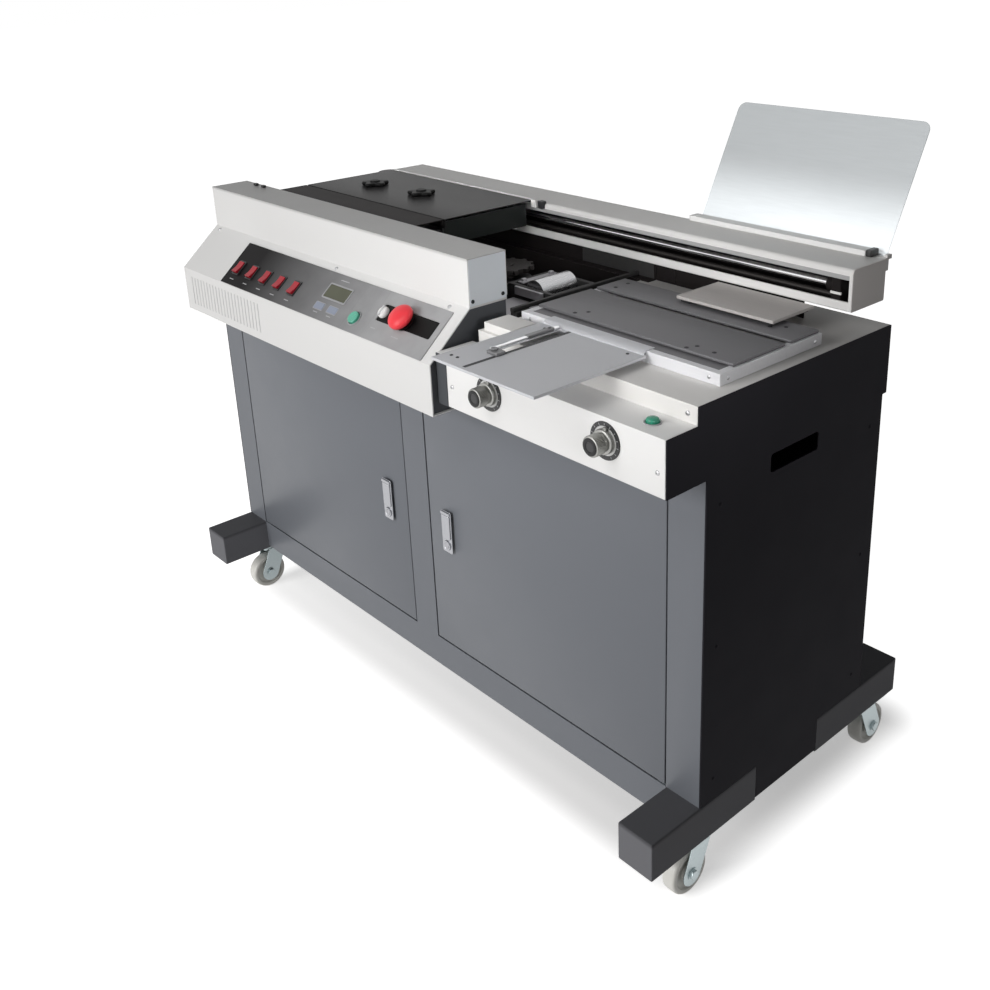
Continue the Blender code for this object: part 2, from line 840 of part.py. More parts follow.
# Doors: folded steel trays on pins at their outer edges, each with a paddle latch
def build_doors():
    bottom, top = door_sill + door_gap, door_head - door_gap
    inner, outer = stile_width / 2 + door_gap, foot_inner - door_gap
    pin_across = outer - hinge_inset
    pin_depth = door_thick / 2
    low_block = (bottom - hinge_clearance - hinge_block_height, bottom - hinge_clearance)
    high_block = (top + hinge_clearance, top + hinge_clearance + hinge_block_height)
    depth = (sheet + gap, sheet + gap + hinge_block_depth)
    inner_depth = (depth[0] + gap, depth[1] - gap)
    rest = foot_top + gap
    for side, name in ((-1, "left_door_hinge"), (1, "right_door_hinge")):
        x = side * pin_across
        edge = side * (post_inner - gap)
        strip = sorted((edge, edge - side * hinge_strip_thick))
        beside_foot = side * (foot_inner - gap)
        into_strip = edge - side * hinge_strip_thick / 2
        hinge = boxes(name, [(strip, depth, (rest, high_block[1]))], bright_steel)
        join_boxes(hinge, [(sorted((into_strip, x - side * hinge_block_width / 2)), inner_depth,
                            (high_block[0], high_block[1] - gap))])
        join_boxes(hinge, [(sorted((into_strip, x)), inner_depth, (rest + gap, low_block[1]))])
        join_boxes(hinge, [(sorted((beside_foot, x - side * hinge_block_width / 2)), depth,
                            (low_block[0], low_block[1] - gap))])
        pins = [(low_block[1] - overrun, bottom + hinge_pin_engage),
                (top - hinge_pin_engage, high_block[0] + overrun)]
        join_cylinders(hinge, [((x, pin_depth, low), (x, pin_depth, high), hinge_pin_radius)
                               for low, high in pins])

    for side, name in ((-1, "left"), (1, "right")):
        ends = sorted((side * inner, side * outer))
        door = boxes(name + "_door", [(ends, (0, door_thick), (bottom, top))], grey_paint, edge=door_edge)
        cut_boxes(door, [((ends[0] + door_sheet, ends[1] - door_sheet), (door_sheet, door_thick + overrun),
                          (bottom + door_sheet, top - door_sheet))])
        x = side * pin_across
        cut_cylinders(door, [((x, pin_depth, bottom - overrun), (x, pin_depth, top + overrun),
                              hinge_pin_radius + hinge_pin_clearance)])
        pivot_at(door, (x, pin_depth, bottom))
        across = sorted((side * (inner + latch_inset), side * (inner + latch_inset + latch_width)))
        up = (latch_centre - latch_height / 2, latch_centre + latch_height / 2)
        latch = outline(name + "_latch", [rectangle(across, up, latch_corner)], latch_thick,
                        facing_front(-latch_stand_off - latch_thick / 2), bright_steel)
        pivot_at(latch, (sum(across) / 2, -latch_stand_off - latch_thick / 2, up[1]))


# Apron: one sheet that is the white front, the shelf on top and the closed underside
def build_apron():
    profile = [(-gap, head_bottom), (-apron_reach, head_bottom), (-apron_reach, shelf_level),
               (riser_depth + shelf_lap, shelf_level)]
    apron = folded_sheet("apron", profile, (console_right + gap, half_length - sheet - gap), sheet,
                         white_paint)
    hole = shelf_button_radius + shelf_button_clearance
    place = (shelf_button_across, shelf_button_depth)
    bore_low = shelf_level - shelf_button_stem
    cut_cylinders(apron, [((*place, bore_low), (*place, shelf_level + overrun), hole)], round_steps)
    waist_top = knob_collar_length + knob_waist_length
    profile = [(0, knob_length), (knob_grip_radius - knob_edge, knob_length),
               (knob_grip_radius, knob_length - knob_edge), (knob_grip_radius, waist_top),
               (knob_waist_radius, waist_top), (knob_waist_radius, knob_collar_length),
               (knob_collar_radius, knob_collar_length), (knob_collar_radius, 0), (0, 0)]
    dial_front = -apron_reach - dial_thick
    for side, across in (("left", left_knob_across), ("right", right_knob_across)):
        place_knob = Matrix.Translation((across, dial_front - gap, knob_height))
        turned(side + "_adjusting_knob", profile, place_knob @ Matrix.Rotation(math.pi / 2, 4, "X"), zinc)
    join_cylinders(apron, [((across, dial_front, knob_height),
                            (across, -apron_reach + sheet / 2, knob_height), dial_radius)
                           for across in (left_knob_across, right_knob_across)], round_steps)
    button_top = shelf_button_stand
    button = [(0, button_top), (shelf_button_radius - button_edge, button_top),
              (shelf_button_radius, button_top - button_edge),
              (shelf_button_radius, -shelf_button_stem), (0, -shelf_button_stem)]
    turned("shelf_button", button, Matrix.Translation((*place, shelf_level)), green_plastic)


# Console: a folded white cover, its dark end plates and the control panel on its slope
def slope_place(across, up, out):
    """A point on the console's slope: across, up from the fold and out from the surface."""
    y = -console_reach + up * math.cos(slope_angle) - out * math.sin(slope_angle)
    z = console_fold + up * math.sin(slope_angle) + out * math.cos(slope_angle)
    return (across, y, z)


def build_console():
    profile = [(-gap, console_bottom), (-console_reach, console_bottom), (-console_reach, console_fold),
               (console_brow_depth, console_brow), (console_brow_depth, console_top),
               (console_back, console_top), (console_back, console_top - console_back_drop)]
    shell = folded_sheet("console_shell", profile, (console_left, console_right), sheet, white_paint)
    caps = []
    for x in ((console_left + gap, console_left + gap + sheet),
              (console_right - gap - sheet, console_right - gap)):
        caps.append((x, (console_brow_depth + sheet / 2, console_back - sheet / 2),
                     (console_brow - sheet, console_top - sheet / 2)))
    join_boxes(shell, caps)
    pitch = grille_width / grille_slots
    left = console_left + grille_inset
    slot_y = (-console_reach - overrun, -console_reach + sheet + overrun)
    slot_z = (console_bottom + grille_margin, console_fold - grille_margin)
    starts = [left + index * pitch for index in range(grille_slots)]
    cut_boxes(shell, [((start, start + grille_slot_width), slot_y, slot_z) for start in starts])

    panel_span = ((panel_left, panel_right), (panel_low, panel_high), (0, panel_thick))
    panel = boxes("control_panel", [panel_span], overlay)
    join_boxes(panel, [((display_centre - display_width / 2, display_centre + display_width / 2),
                        (display_up - display_height / 2, display_up + display_height / 2),
                        (panel_thick / 2, panel_thick + display_thick))])
    settled(panel)
    tilt = Matrix.Rotation(slope_angle, 4, "X")
    panel.matrix_local = Matrix.Translation(slope_place(0, 0, gap)) @ tilt
    bores = []
    for across, up, radius in ((start_across, start_up, start_radius),
                               (stop_across, stop_up, stop_stem_radius)):
        bores.append((slope_place(across, up, -button_depth_behind - overrun),
                      slope_place(across, up, overrun), radius + button_clearance))
    cut_cylinders(shell, bores, round_steps)
    cut_cylinders(panel, bores, round_steps)

    face = gap + panel_thick
    rocker = [(-rocker_half_length, rocker_tilt_room), (0, 0), (rocker_half_length, rocker_tilt_room),
              (rocker_half_length, rocker_thin), (0, rocker_thin), (-rocker_half_length, rocker_thick)]
    for index in range(rocker_count):
        share = first_rocker_share + (last_rocker_share - first_rocker_share) * index / (rocker_count - 1)
        across = panel_left + share * panel_length
        made = outline("rocker_%d" % (index + 1), [rocker], rocker_width, facing_side(0), red_plastic)
        made.matrix_local = Matrix.Translation(slope_place(across, rocker_up, face + gap)) @ tilt
    start = [(0, face + start_stand), (start_radius - button_edge, face + start_stand),
             (start_radius, face + start_stand - button_edge), (start_radius, -button_depth_behind),
             (0, -button_depth_behind)]
    turned("start_button", start, Matrix.Translation(slope_place(start_across, start_up, 0)) @ tilt,
           green_plastic)
    crown = face + stop_stem_stand
    stop = [(stop_radius * math.sin(math.pi / 2 * step / arc_steps),
             crown + stop_head_height * math.cos(math.pi / 2 * step / arc_steps))
            for step in range(arc_steps + 1)]
    stop += [(stop_radius - button_edge, crown - button_edge), (stop_stem_radius, crown - button_edge),
             (stop_stem_radius, -button_depth_behind), (0, -button_depth_behind)]
    turned("emergency_stop", stop, Matrix.Translation(slope_place(stop_across, stop_up, 0)) @ tilt,
           red_plastic)

    wall = sheet + gap
    slant = wall * math.tan(slope_angle / 2)
    front = wall - console_reach
    brow_low = console_brow - sheet - gap
    end = [(front, console_bottom + wall), (-gap, console_bottom + wall), (-gap, head_bottom + gap),
           (console_back, head_bottom + gap), (console_back, brow_low),
           (console_brow_depth + slant, brow_low), (front, console_fold - slant)]
    inset = console_end_inset + sheet / 2
    outline("left_console_end", [end], sheet, facing_side(console_left + inset), dark_plate)
    outline("right_console_end", [end], sheet, facing_side(console_right - inset), dark_plate)


# Table: the level cover plate with its riser, the aluminium frame and the nipping plates
def build_table():
    inside = half_length - sheet - gap
    plan = [(bay_right, riser_depth), (inside, riser_depth), (inside, head_back), (-inside, head_back),
            (-inside, side_strip_front), (bay_left, side_strip_front), (bay_left, bay_back),
            (bay_right, bay_back)]
    cover = outline("table_cover", [plan], sheet, facing_up(deck_level - sheet / 2), white_paint)
    fold = deck_level - sheet / 2
    join_boxes(cover, [((bay_right + gap, inside - gap), (riser_depth + gap, riser_depth + gap + sheet),
                        (shelf_level + gap, fold)),
                       ((-inside + gap, inside - gap), (head_back - gap - sheet, head_back - gap),
                        (head_bottom, fold)),
                       ((rest_block_left, rest_block_left + rest_block_width),
                        (rest_block_front, rest_block_back), (fold, deck_level + rest_block_height))])

    low = deck_level + gap
    top = low + frame_height
    ring = [rectangle((frame_left, frame_right), (frame_front, frame_back)),
            rectangle((frame_left + frame_bar, frame_right - frame_bar),
                      (frame_front + frame_bar, frame_back - frame_bar))]
    outline("table_frame", ring, frame_height, facing_up((low + top) / 2), aluminium)

    plate = (top + gap, top + gap + nip_plate_thick)
    nip_x = (nip_left, nip_right)
    front = boxes("front_nip_plate", [(nip_x, (front_nip_front, front_nip_back), plate)], dark_steel,
                  edge=nip_edge)
    pivot_at(front, ((nip_left + nip_right) / 2, front_nip_back, plate[1]))
    boxes("rear_nip_plate", [(nip_x, (rear_nip_front, rear_nip_back), plate)], dark_steel, edge=nip_edge)
    base = plate[1] + gap
    support_right = support_left + support_width
    support = boxes("cover_support", [((support_left, support_right), (support_front, support_back),
                                       (base, base + support_height))], plate_metal)
    cut_boxes(support, [((support_left + support_sheet, support_right - support_sheet),
                         (support_front + support_sheet, support_back - support_sheet),
                         (base - overrun, base + support_height - support_sheet))])


# Cover plate: a shallow tray beside the nipping table, with a gauge that slides in its slot
def build_cover_plate():
    x = (cover_plate_left, cover_plate_left + cover_plate_width)
    y = (-cover_plate_reach, cover_plate_back)
    z = (deck_level + gap, cover_plate_top)
    wall = cover_plate_sheet
    plate = boxes("cover_plate", [(x, y, z)], aluminium)
    cut_boxes(plate, [((x[0] + wall, x[1] - wall), (y[0] + wall, y[1] - wall),
                       (z[0] - overrun, z[1] - wall))])
    slot_right = gauge_slot_left + gauge_slot_width
    slot = boxes("gauge_slot", [((gauge_slot_left, slot_right), (gauge_slot_front, gauge_slot_back),
                                 (z[1] - wall - overrun, z[1] + overrun))], group=cutters)
    combine(plate, slot, "DIFFERENCE")

    middle = gauge_slot_left + gauge_slot_width / 2
    stem_front = gauge_slot_front + (gauge_slot_width - gauge_stem_width) / 2
    stem_middle = stem_front + gauge_stem_length / 2
    low = cover_plate_top + gap
    gauge = boxes("cover_gauge", [((middle - gauge_width / 2, middle + gauge_width / 2),
                                   (stem_middle - gauge_length / 2, stem_middle + gauge_length / 2),
                                   (low, low + gauge_thick))], black_plastic)
    join_boxes(gauge, [((middle - gauge_stem_width / 2, middle + gauge_stem_width / 2),
                        (stem_front, stem_front + gauge_stem_length),
                        (cover_plate_top - gauge_stem_drop, low + gauge_thick / 2))])
    join_cylinders(gauge, [((middle, stem_middle, low + gauge_thick / 2),
                            (middle, stem_middle, low + gauge_thick + gauge_knob_height), gauge_knob_radius)])
    pivot_at(gauge, (middle, stem_middle, low))


# Beam: a C-shaped rail housing with end caps, guide rods, rod blocks and its brackets
def build_beam():
    profile = [(beam_front, beam_slot_high), (beam_front, beam_top), (beam_back, beam_top),
               (beam_back, beam_bottom), (beam_front, beam_bottom), (beam_front, beam_slot_low)]
    housing = folded_sheet("beam_housing", profile, (beam_left, beam_right), beam_wall, white_paint)
    bite = beam_wall / 2
    cap_y = (beam_front + bite, beam_back - bite)
    cap_z = (beam_bottom + bite, beam_top - bite)
    join_boxes(housing, [(x, cap_y, cap_z) for x in ((beam_left + gap, beam_left + gap + beam_cap),
                                                     (beam_right - gap - beam_cap, beam_right - gap))])
    lug_z = (cover_axis_height - cover_lug_width, cover_axis_height + cover_barrel_radius)
    lug_y = (cover_axis_depth - cover_barrel_radius, beam_front + bite)
    join_boxes(housing, [(x, lug_y, lug_z)
                         for x in ((cover_left - gap - cover_lug_width, cover_left - gap),
                                   (cover_right + gap, cover_right + gap + cover_lug_width))])

    rods_left = beam_left + beam_cap + 2 * gap
    rods_right = beam_right - beam_cap - 2 * gap
    block_front = beam_front + beam_wall + gap
    block_low = beam_bottom + beam_wall + gap
    rods = boxes("guide_rods", [((start, start + rod_block_length),
                                 (block_front, block_front + rod_block_depth),
                                 (block_low, block_low + rod_block_height))
                                for start in (rods_left + rod_block_inset,
                                              rods_right - rod_block_inset - rod_block_length)],
                 bright_steel)
    for height, radius in ((upper_rod_height, upper_rod_radius), (lower_rod_height, lower_rod_radius)):
        join_cylinders(rods, [((rods_left, rod_depth, height), (rods_right, rod_depth, height), radius)])

    bracket_y = (beam_back - gap - bracket_depth, beam_back - gap)
    for across, side in ((left_bracket_across, "left"), (right_bracket_across, "right")):
        boxes(side + "_beam_bracket", [((across - bracket_width / 2, across + bracket_width / 2),
                                        bracket_y, (deck_level + gap, beam_bottom - gap))], black_plastic)


# Clamp: the carriage with its fixed jaw runs on the rods, and the front jaw closes on its pins
def build_clamp():
    back = jaw_face_depth + jaw_thick
    jaw_span = ((jaw_left, jaw_right), (jaw_face_depth, back), (jaw_bottom, jaw_top))
    carriage = boxes("clamp_carriage", [jaw_span], dark_steel)
    centre = (jaw_left + jaw_right) / 2
    slider_x = (centre - slider_length / 2, centre + slider_length / 2)
    slider = (slider_x, (slider_front, slider_front + slider_depth),
              (slider_bottom, slider_bottom + slider_height))
    arms = []
    for start in (slider_x[0], slider_x[1] - arm_width):
        arms.append(((start, start + arm_width), (back - overrun, slider_front + overrun),
                     (arm_bottom, arm_bottom + arm_thick)))
    join_boxes(carriage, arms)
    block = boxes("clamp_slider", [slider], group=cutters)
    combine(carriage, block, "UNION")
    end_x = jaw_right + jaw_end_clearance
    end_plate = boxes("clamp_end_plate", [((jaw_right - overrun, end_x + jaw_end_plate),
                                           (jaw_face_depth + overrun, back - overrun),
                                           (jaw_bottom + overrun, jaw_top - overrun))], group=cutters)
    combine(carriage, end_plate, "UNION")
    face = boxes("clamp_end_face", [((end_x, end_x + jaw_end_plate), (jaw_end_front, jaw_end_back),
                                     (jaw_bottom, jaw_top))], group=cutters)
    combine(carriage, face, "UNION")
    reach = jaw_opening + front_jaw_thick + jaw_travel_out + jaw_pin_spare
    pin_places = (jaw_left + jaw_pin_inset, jaw_right - jaw_pin_inset)
    join_cylinders(carriage, [((across, jaw_face_depth - reach, jaw_pin_height),
                               (across, jaw_face_depth + jaw_thick / 2, jaw_pin_height), jaw_pin_radius)
                              for across in pin_places])
    x = (slider_x[0] - overrun, slider_x[1] + overrun)
    cut_cylinders(carriage, [((x[0], rod_depth, height), (x[1], rod_depth, height), radius + rod_clearance)
                             for height, radius in ((upper_rod_height, upper_rod_radius),
                                                    (lower_rod_height, lower_rod_radius))])
    pivot_at(carriage, (centre, rod_depth, upper_rod_height))

    front = jaw_face_depth - jaw_opening - front_jaw_thick
    jaw_y = (front, front + front_jaw_thick)
    jaw = boxes("clamp_jaw", [((jaw_left, jaw_right), jaw_y, (jaw_bottom, jaw_top))], dark_steel)
    cut_cylinders(jaw, [((across, jaw_y[0] - overrun, jaw_pin_height),
                         (across, jaw_y[1] + overrun, jaw_pin_height), jaw_pin_radius + jaw_pin_clearance)
                        for across in pin_places])
    pivot_at(jaw, (centre, front, jaw_pin_height))


# Clamp cover: a smoked lid hinged along the beam, and the fixed dark strip in front of it
def build_clamp_cover():
    profile = [(cover_front, cover_level - cover_lip), (cover_front, cover_level),
               (cover_axis_depth, cover_level)]
    lid = folded_sheet("clamp_cover", profile, (cover_left, cover_right), cover_sheet, smoked_plastic)
    axis = (cover_axis_depth, cover_axis_height)
    join_cylinders(lid, [((cover_left, *axis), (cover_right, *axis), cover_barrel_radius)])
    pivot_at(lid, ((cover_left + cover_right) / 2, *axis))
    back = surround_front_back
    front = console_back + gap
    strip = [(front, cover_level - surround_leg), (front, cover_level), (back, cover_level),
             (back, cover_level - surround_lip)]
    folded_sheet("clamp_surround", strip, (cover_left, cover_right), cover_sheet, dark_plate)


# Glue tank with its roller, the milling cutter and the motors
def build_stations():
    z = (head_bottom + gap, tank_top)
    tank = boxes("glue_tank", [((tank_left, tank_right), (tank_front, tank_back), z)], dark_steel)
    cut_boxes(tank, [((tank_left + tank_wall, tank_right - tank_wall),
                      (tank_front + tank_wall, tank_back - tank_wall),
                      (tank_top - tank_depth, tank_top + overrun))])
    across = (tank_left + tank_right) / 2
    cut_cylinders(tank, [((across, tank_front - overrun, roller_height),
                          (across, tank_back + overrun, roller_height),
                          roller_shaft_radius + roller_shaft_clearance)])
    drum = (tank_back - tank_front) / 2 - tank_wall - roller_side_clearance
    shaft = (tank_back - tank_front) / 2 + roller_shaft_stand
    profile = [(0, shaft), (roller_shaft_radius, shaft), (roller_shaft_radius, drum), (roller_radius, drum)]
    profile += [(radius, -height) for radius, height in reversed(profile)]
    middle = Matrix.Translation((across, (tank_front + tank_back) / 2, roller_height))
    turned("glue_roller", profile, middle @ Matrix.Rotation(math.pi / 2, 4, "X"), bright_steel)

    corners = [(0, cutter_radius), (cutter_tip_share, cutter_radius),
               (cutter_gullet_start_share, cutter_root_radius), (cutter_gullet_end_share, cutter_root_radius)]
    points = []
    for tooth in range(cutter_teeth):
        for share, radius in corners:
            angle = (tooth + share) * 2 * math.pi / cutter_teeth
            points.append((radius * math.cos(angle), radius * math.sin(angle)))
    disc = outline("milling_cutter", [points], cutter_top - cutter_bottom, facing_up(0), bright_steel)
    disc.data.transform(Matrix.Translation((cutter_across, cutter_depth, (cutter_bottom + cutter_top) / 2)))
    disc_middle = (cutter_bottom + cutter_top) / 2
    join_cylinders(disc, [((cutter_across, cutter_depth, mill_motor_top + gap),
                           (cutter_across, cutter_depth, disc_middle), cutter_hub_radius)])
    pivot_at(disc, (cutter_across, cutter_depth, cutter_bottom))
    low = deck_level + gap
    cylinders("milling_motor", [((cutter_across, cutter_depth, head_bottom + gap),
                                 (cutter_across, cutter_depth, mill_motor_top), mill_motor_radius)],
              black_plastic, steps=round_steps)
    cylinders("carriage_motor", [((carriage_motor_across, carriage_motor_depth, low),
                                  (carriage_motor_across, carriage_motor_depth, low + carriage_motor_height),
                                  carriage_motor_radius)], black_plastic, steps=round_steps)


# Back plate: a leaning aluminium sheet on a hinge rail behind the beam
def build_back_plate():
    rail_y = (beam_back + gap, beam_back + gap + hinge_rail_thick)
    rail_z = (plate_axis_height - hinge_rail_height, plate_axis_height)
    lug_y = (rail_y[1] - overrun, plate_axis_depth + plate_barrel_radius)
    lug_z = (plate_axis_height - plate_barrel_radius, plate_axis_height + plate_barrel_radius)
    left_lug = (plate_left - gap - hinge_lug_width, plate_left - gap)
    right_lug = (plate_right + gap, plate_right + gap + hinge_lug_width)
    rail = boxes("back_hinge", [((left_lug[0], right_lug[1]), rail_y, rail_z)], white_paint)
    join_boxes(rail, [(x, lug_y, lug_z) for x in (left_lug, right_lug)])
    half = (plate_right - plate_left) / 2
    corners = rectangle((-half, half), (0, plate_height), plate_corner)
    points = [(-half, 0), (half, 0)] + corners[arc_steps + 1:3 * (arc_steps + 1)]
    axis = ((plate_left + plate_right) / 2, plate_axis_depth, plate_axis_height)
    plate = outline("back_plate", [points], plate_thick, facing_front(0), plate_metal)
    join_cylinders(plate, [((-half, 0, 0), (half, 0, 0), plate_barrel_radius)])
    settled(plate)
    plate.matrix_local = Matrix.Translation(axis) @ Matrix.Rotation(-plate_lean, 4, "X")


build_feet()
build_casters()
build_cabinet()
build_doors()
build_apron()
build_console()
build_table()
build_cover_plate()
build_beam()
build_clamp()
build_clamp_cover()
build_stations()
build_back_plate()
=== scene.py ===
import math

import bmesh
import bpy
import numpy as np
from mathutils import Matrix, Vector


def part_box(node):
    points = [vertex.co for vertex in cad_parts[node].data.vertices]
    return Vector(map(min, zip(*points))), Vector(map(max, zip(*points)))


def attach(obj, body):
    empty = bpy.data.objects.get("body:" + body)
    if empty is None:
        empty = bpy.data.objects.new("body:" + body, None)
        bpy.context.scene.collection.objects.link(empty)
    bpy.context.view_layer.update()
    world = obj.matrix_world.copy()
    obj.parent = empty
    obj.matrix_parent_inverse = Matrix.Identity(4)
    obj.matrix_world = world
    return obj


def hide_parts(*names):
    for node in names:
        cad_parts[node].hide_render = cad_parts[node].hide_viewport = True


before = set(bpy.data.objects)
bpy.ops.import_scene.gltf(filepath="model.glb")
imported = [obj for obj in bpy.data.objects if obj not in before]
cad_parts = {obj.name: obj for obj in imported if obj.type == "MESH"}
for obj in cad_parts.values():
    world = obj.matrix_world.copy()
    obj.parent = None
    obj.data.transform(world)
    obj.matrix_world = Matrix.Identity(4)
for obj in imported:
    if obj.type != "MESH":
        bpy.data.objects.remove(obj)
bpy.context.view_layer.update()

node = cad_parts
scene = bpy.context.scene
scene.view_settings.view_transform = "Standard"

# Studio
# A pale seamless floor whose glow is dimmed near and under the machine as a painted shadow, one large soft light
# in front of the machine, a small one above its shelf, a narrow one on the console's right end, and the photograph's
# view from the right, a little above the machine's head.
sight = bpy.data.cameras.new("sight")
sight.sensor_width = 36
sight.lens = 41.71
sight.shift_x = -0.0808
sight.shift_y = -0.1364
camera = bpy.data.objects.new("camera", sight)
camera.matrix_world = Matrix(((0.6895, -0.2391, 0.6836, 1.4756),
                              (0.7240, 0.2543, -0.6412, -1.1935),
                              (-0.0205, 0.9371, 0.3485, 1.3332),
                              (0, 0, 0, 1)))
scene.collection.objects.link(camera)
scene.camera = camera


def soft_light(name, place, aim, width, height, power, spread=180):
    """A rectangular lamp that looks from its place to a point."""
    lamp = bpy.data.lights.new(name, "AREA")
    lamp.shape = "RECTANGLE"
    lamp.size = width
    lamp.size_y = height
    lamp.energy = power
    lamp.spread = math.radians(spread)
    holder = bpy.data.objects.new(name, lamp)
    holder.location = place
    holder.visible_camera = False
    holder.rotation_euler = (Vector(aim) - Vector(place)).to_track_quat("-Z", "Y").to_euler()
    scene.collection.objects.link(holder)


soft_light("front_light", (-0.5, -4.5, 1.85), (0.0, 0.0, 0.60), 2.6, 2.4, 137)
soft_light("shelf_light", (0.27, -0.74, 1.30), (0.33, -0.20, 0.77), 0.4, 0.3, 1.6)
soft_light("end_light", (1.40, -0.62, 1.12), (0.19, 0.02, 0.86), 0.3, 0.3, 0.2, 30)


def added(tree, kind, inputs=None, **settings):
    """A node with its settings; each input takes a value or is joined to another node's output."""
    made = tree.nodes.new(kind)
    for label, value in settings.items():
        setattr(made, label, value)
    for label, value in (inputs or {}).items():
        if isinstance(value, bpy.types.NodeSocket):
            tree.links.new(value, made.inputs[label])
        else:
            made.inputs[label].default_value = value
    return made


def seen_or_mirrored(tree):
    """One for what the camera, a mirror or a glass sees, nought for the light that surfaces scatter."""
    path = added(tree, "ShaderNodeLightPath")
    pair = added(tree, "ShaderNodeMath", {0: path.outputs["Is Camera Ray"], 1: path.outputs["Is Glossy Ray"]},
                 operation="MAXIMUM")
    return added(tree, "ShaderNodeMath", {0: pair.outputs[0], 1: path.outputs["Is Transmission Ray"]},
                 operation="MAXIMUM").outputs[0]


room = bpy.data.worlds.new("room")
room.use_nodes = True
scene.world = room
sky = room.node_tree.nodes["Background"]
sky.inputs["Color"].default_value = (1, 1, 1, 1)
sky_strength = added(room.node_tree, "ShaderNodeMapRange",
                     {"Value": seen_or_mirrored(room.node_tree), "To Min": 0.09, "To Max": 1.0})
room.node_tree.links.new(sky_strength.outputs["Result"], sky.inputs["Strength"])

floor_mesh = bpy.data.meshes.new("floor")
floor_mesh.from_pydata([(-20, -20, 0), (20, -20, 0), (20, 20, 0), (-20, 20, 0)], [], [(0, 1, 2, 3)])
floor = bpy.data.objects.new("floor", floor_mesh)
scene.collection.objects.link(floor)
pale = bpy.data.materials.new("pale_floor")
pale.use_nodes = True
tree = pale.node_tree
tree.nodes["Principled BSDF"].inputs["Base Color"].default_value = (0.86, 0.845, 0.835, 1)
tree.nodes["Principled BSDF"].inputs["Roughness"].default_value = 0.9
tree.nodes["Principled BSDF"].inputs["Specular IOR Level"].default_value = 0
# Painted shadow: the floor's glow falls from white to grey within 95 mm of the machine's footprint, and under it from
# 0.57 on the left to 0.38 on the right.
spot = added(tree, "ShaderNodeTexCoord")
apart = added(tree, "ShaderNodeSeparateXYZ", {0: spot.outputs["Object"]})
aside = added(tree, "ShaderNodeVectorMath", {0: spot.outputs["Object"], 1: (0, 0.094, 0)}, operation="SUBTRACT")
folded = added(tree, "ShaderNodeVectorMath", {0: aside.outputs["Vector"]}, operation="ABSOLUTE")
beyond = added(tree, "ShaderNodeVectorMath", {0: folded.outputs["Vector"], 1: (0.585, 0.26, 0)}, operation="SUBTRACT")
outside = added(tree, "ShaderNodeVectorMath", {0: beyond.outputs["Vector"], 1: (0, 0, 0)}, operation="MAXIMUM")
reach = added(tree, "ShaderNodeVectorMath", {0: outside.outputs["Vector"]}, operation="LENGTH")
painted_shadow_under = added(tree, "ShaderNodeMapRange", {"Value": apart.outputs["X"], "From Min": -0.5, "From Max": 0.5,
                                           "To Min": 0.57, "To Max": 0.38})
far = added(tree, "ShaderNodeMapRange", {"Value": reach.outputs["Value"], "From Min": 0, "From Max": 0.095,
                                         "To Min": painted_shadow_under.outputs["Result"], "To Max": 1.0},
            interpolation_type="SMOOTHSTEP")
lit = added(tree, "ShaderNodeMath", {0: far.outputs["Result"], 1: seen_or_mirrored(tree)}, operation="MULTIPLY")
backdrop_glow_and_painted_shadow = added(tree, "ShaderNodeEmission", {"Strength": lit.outputs[0]})
both = added(tree, "ShaderNodeAddShader", {0: tree.nodes["Principled BSDF"].outputs[0], 1: backdrop_glow_and_painted_shadow.outputs[0]})
tree.links.new(both.outputs[0], tree.nodes["Material Output"].inputs["Surface"])
floor_mesh.materials.append(pale)

# Feet
# Two folded steel beams in charcoal powder coat, one under each end, set back along the middle for the side
# panel, closed behind by a plastic plug, with the four pressed caster plates bolted underneath.
leg_front = np.array((0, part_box("front_frame")[0].y, 0))


def drawn_in(outline, distance):
    """An outline moved inwards: each corner moves along the mitre of its two sides, far enough that both
    sides lie the same distance further in."""
    outline = np.asarray(outline, float)
    ahead = np.roll(outline, -1, axis=0) - outline
    ahead /= np.linalg.norm(ahead, axis=1, keepdims=True)
    normal = np.stack((-ahead[:, 1], ahead[:, 0]), -1)
    mitre = normal + np.roll(normal, 1, axis=0)
    mitre /= (mitre * normal).sum(axis=1, keepdims=True)
    return outline + distance * mitre


def joined(rings, closed=False):
    """Rings of points joined in order by four-sided faces. An open row is closed by its first and its last
    ring, a closed row runs on from its last ring to its first."""
    rings = np.asarray(rings, float)
    index = np.arange(rings.shape[0] * rings.shape[1]).reshape(rings.shape[:2])
    beside = np.roll(index, -1, axis=1)
    after = np.roll(index, -1, axis=0)
    beside_after = np.roll(beside, -1, axis=0)
    quads = np.stack((index, beside, beside_after, after), -1)
    quads = (quads if closed else quads[:-1]).reshape(-1, 4)
    return rings.reshape(-1, 3), quads, [] if closed else [index[0][::-1], index[-1]]


def rim(low, high, edge, steps=3):
    """Heights and insets of a plate's rings: a quarter round of radius edge at its lower and upper rim."""
    turn = np.linspace(0, math.pi / 2, steps)
    rise, inset = edge * (1 - np.cos(turn)), edge * (1 - np.sin(turn))
    return np.append(low + rise, high - rise[::-1]), np.append(inset, inset[::-1])


def slab(outline, low, high, edge=0.0008, steps=3):
    """A plate with rounded rims: its outline drawn in by the rim's inset at each of the rim's heights."""
    heights, insets = rim(low, high, edge, steps)
    return joined([np.column_stack((drawn_in(outline, inset), np.full(len(outline), height)))
                   for height, inset in zip(heights, insets)])


def rounded(half_width, half_height, corner, steps=6):
    """A rectangle with round corners: each corner's centre plus the radius times (cos t, sin t)."""
    turn = np.linspace(0, math.pi / 2, steps) + np.arange(4)[:, None] * math.pi / 2
    sign = np.array(((1, 1), (-1, 1), (-1, -1), (1, -1)), float)
    centre = sign * (half_width - corner, half_height - corner)
    return (centre[:, None] + corner * np.stack((np.cos(turn), np.sin(turn)), -1)).reshape(-1, 2)


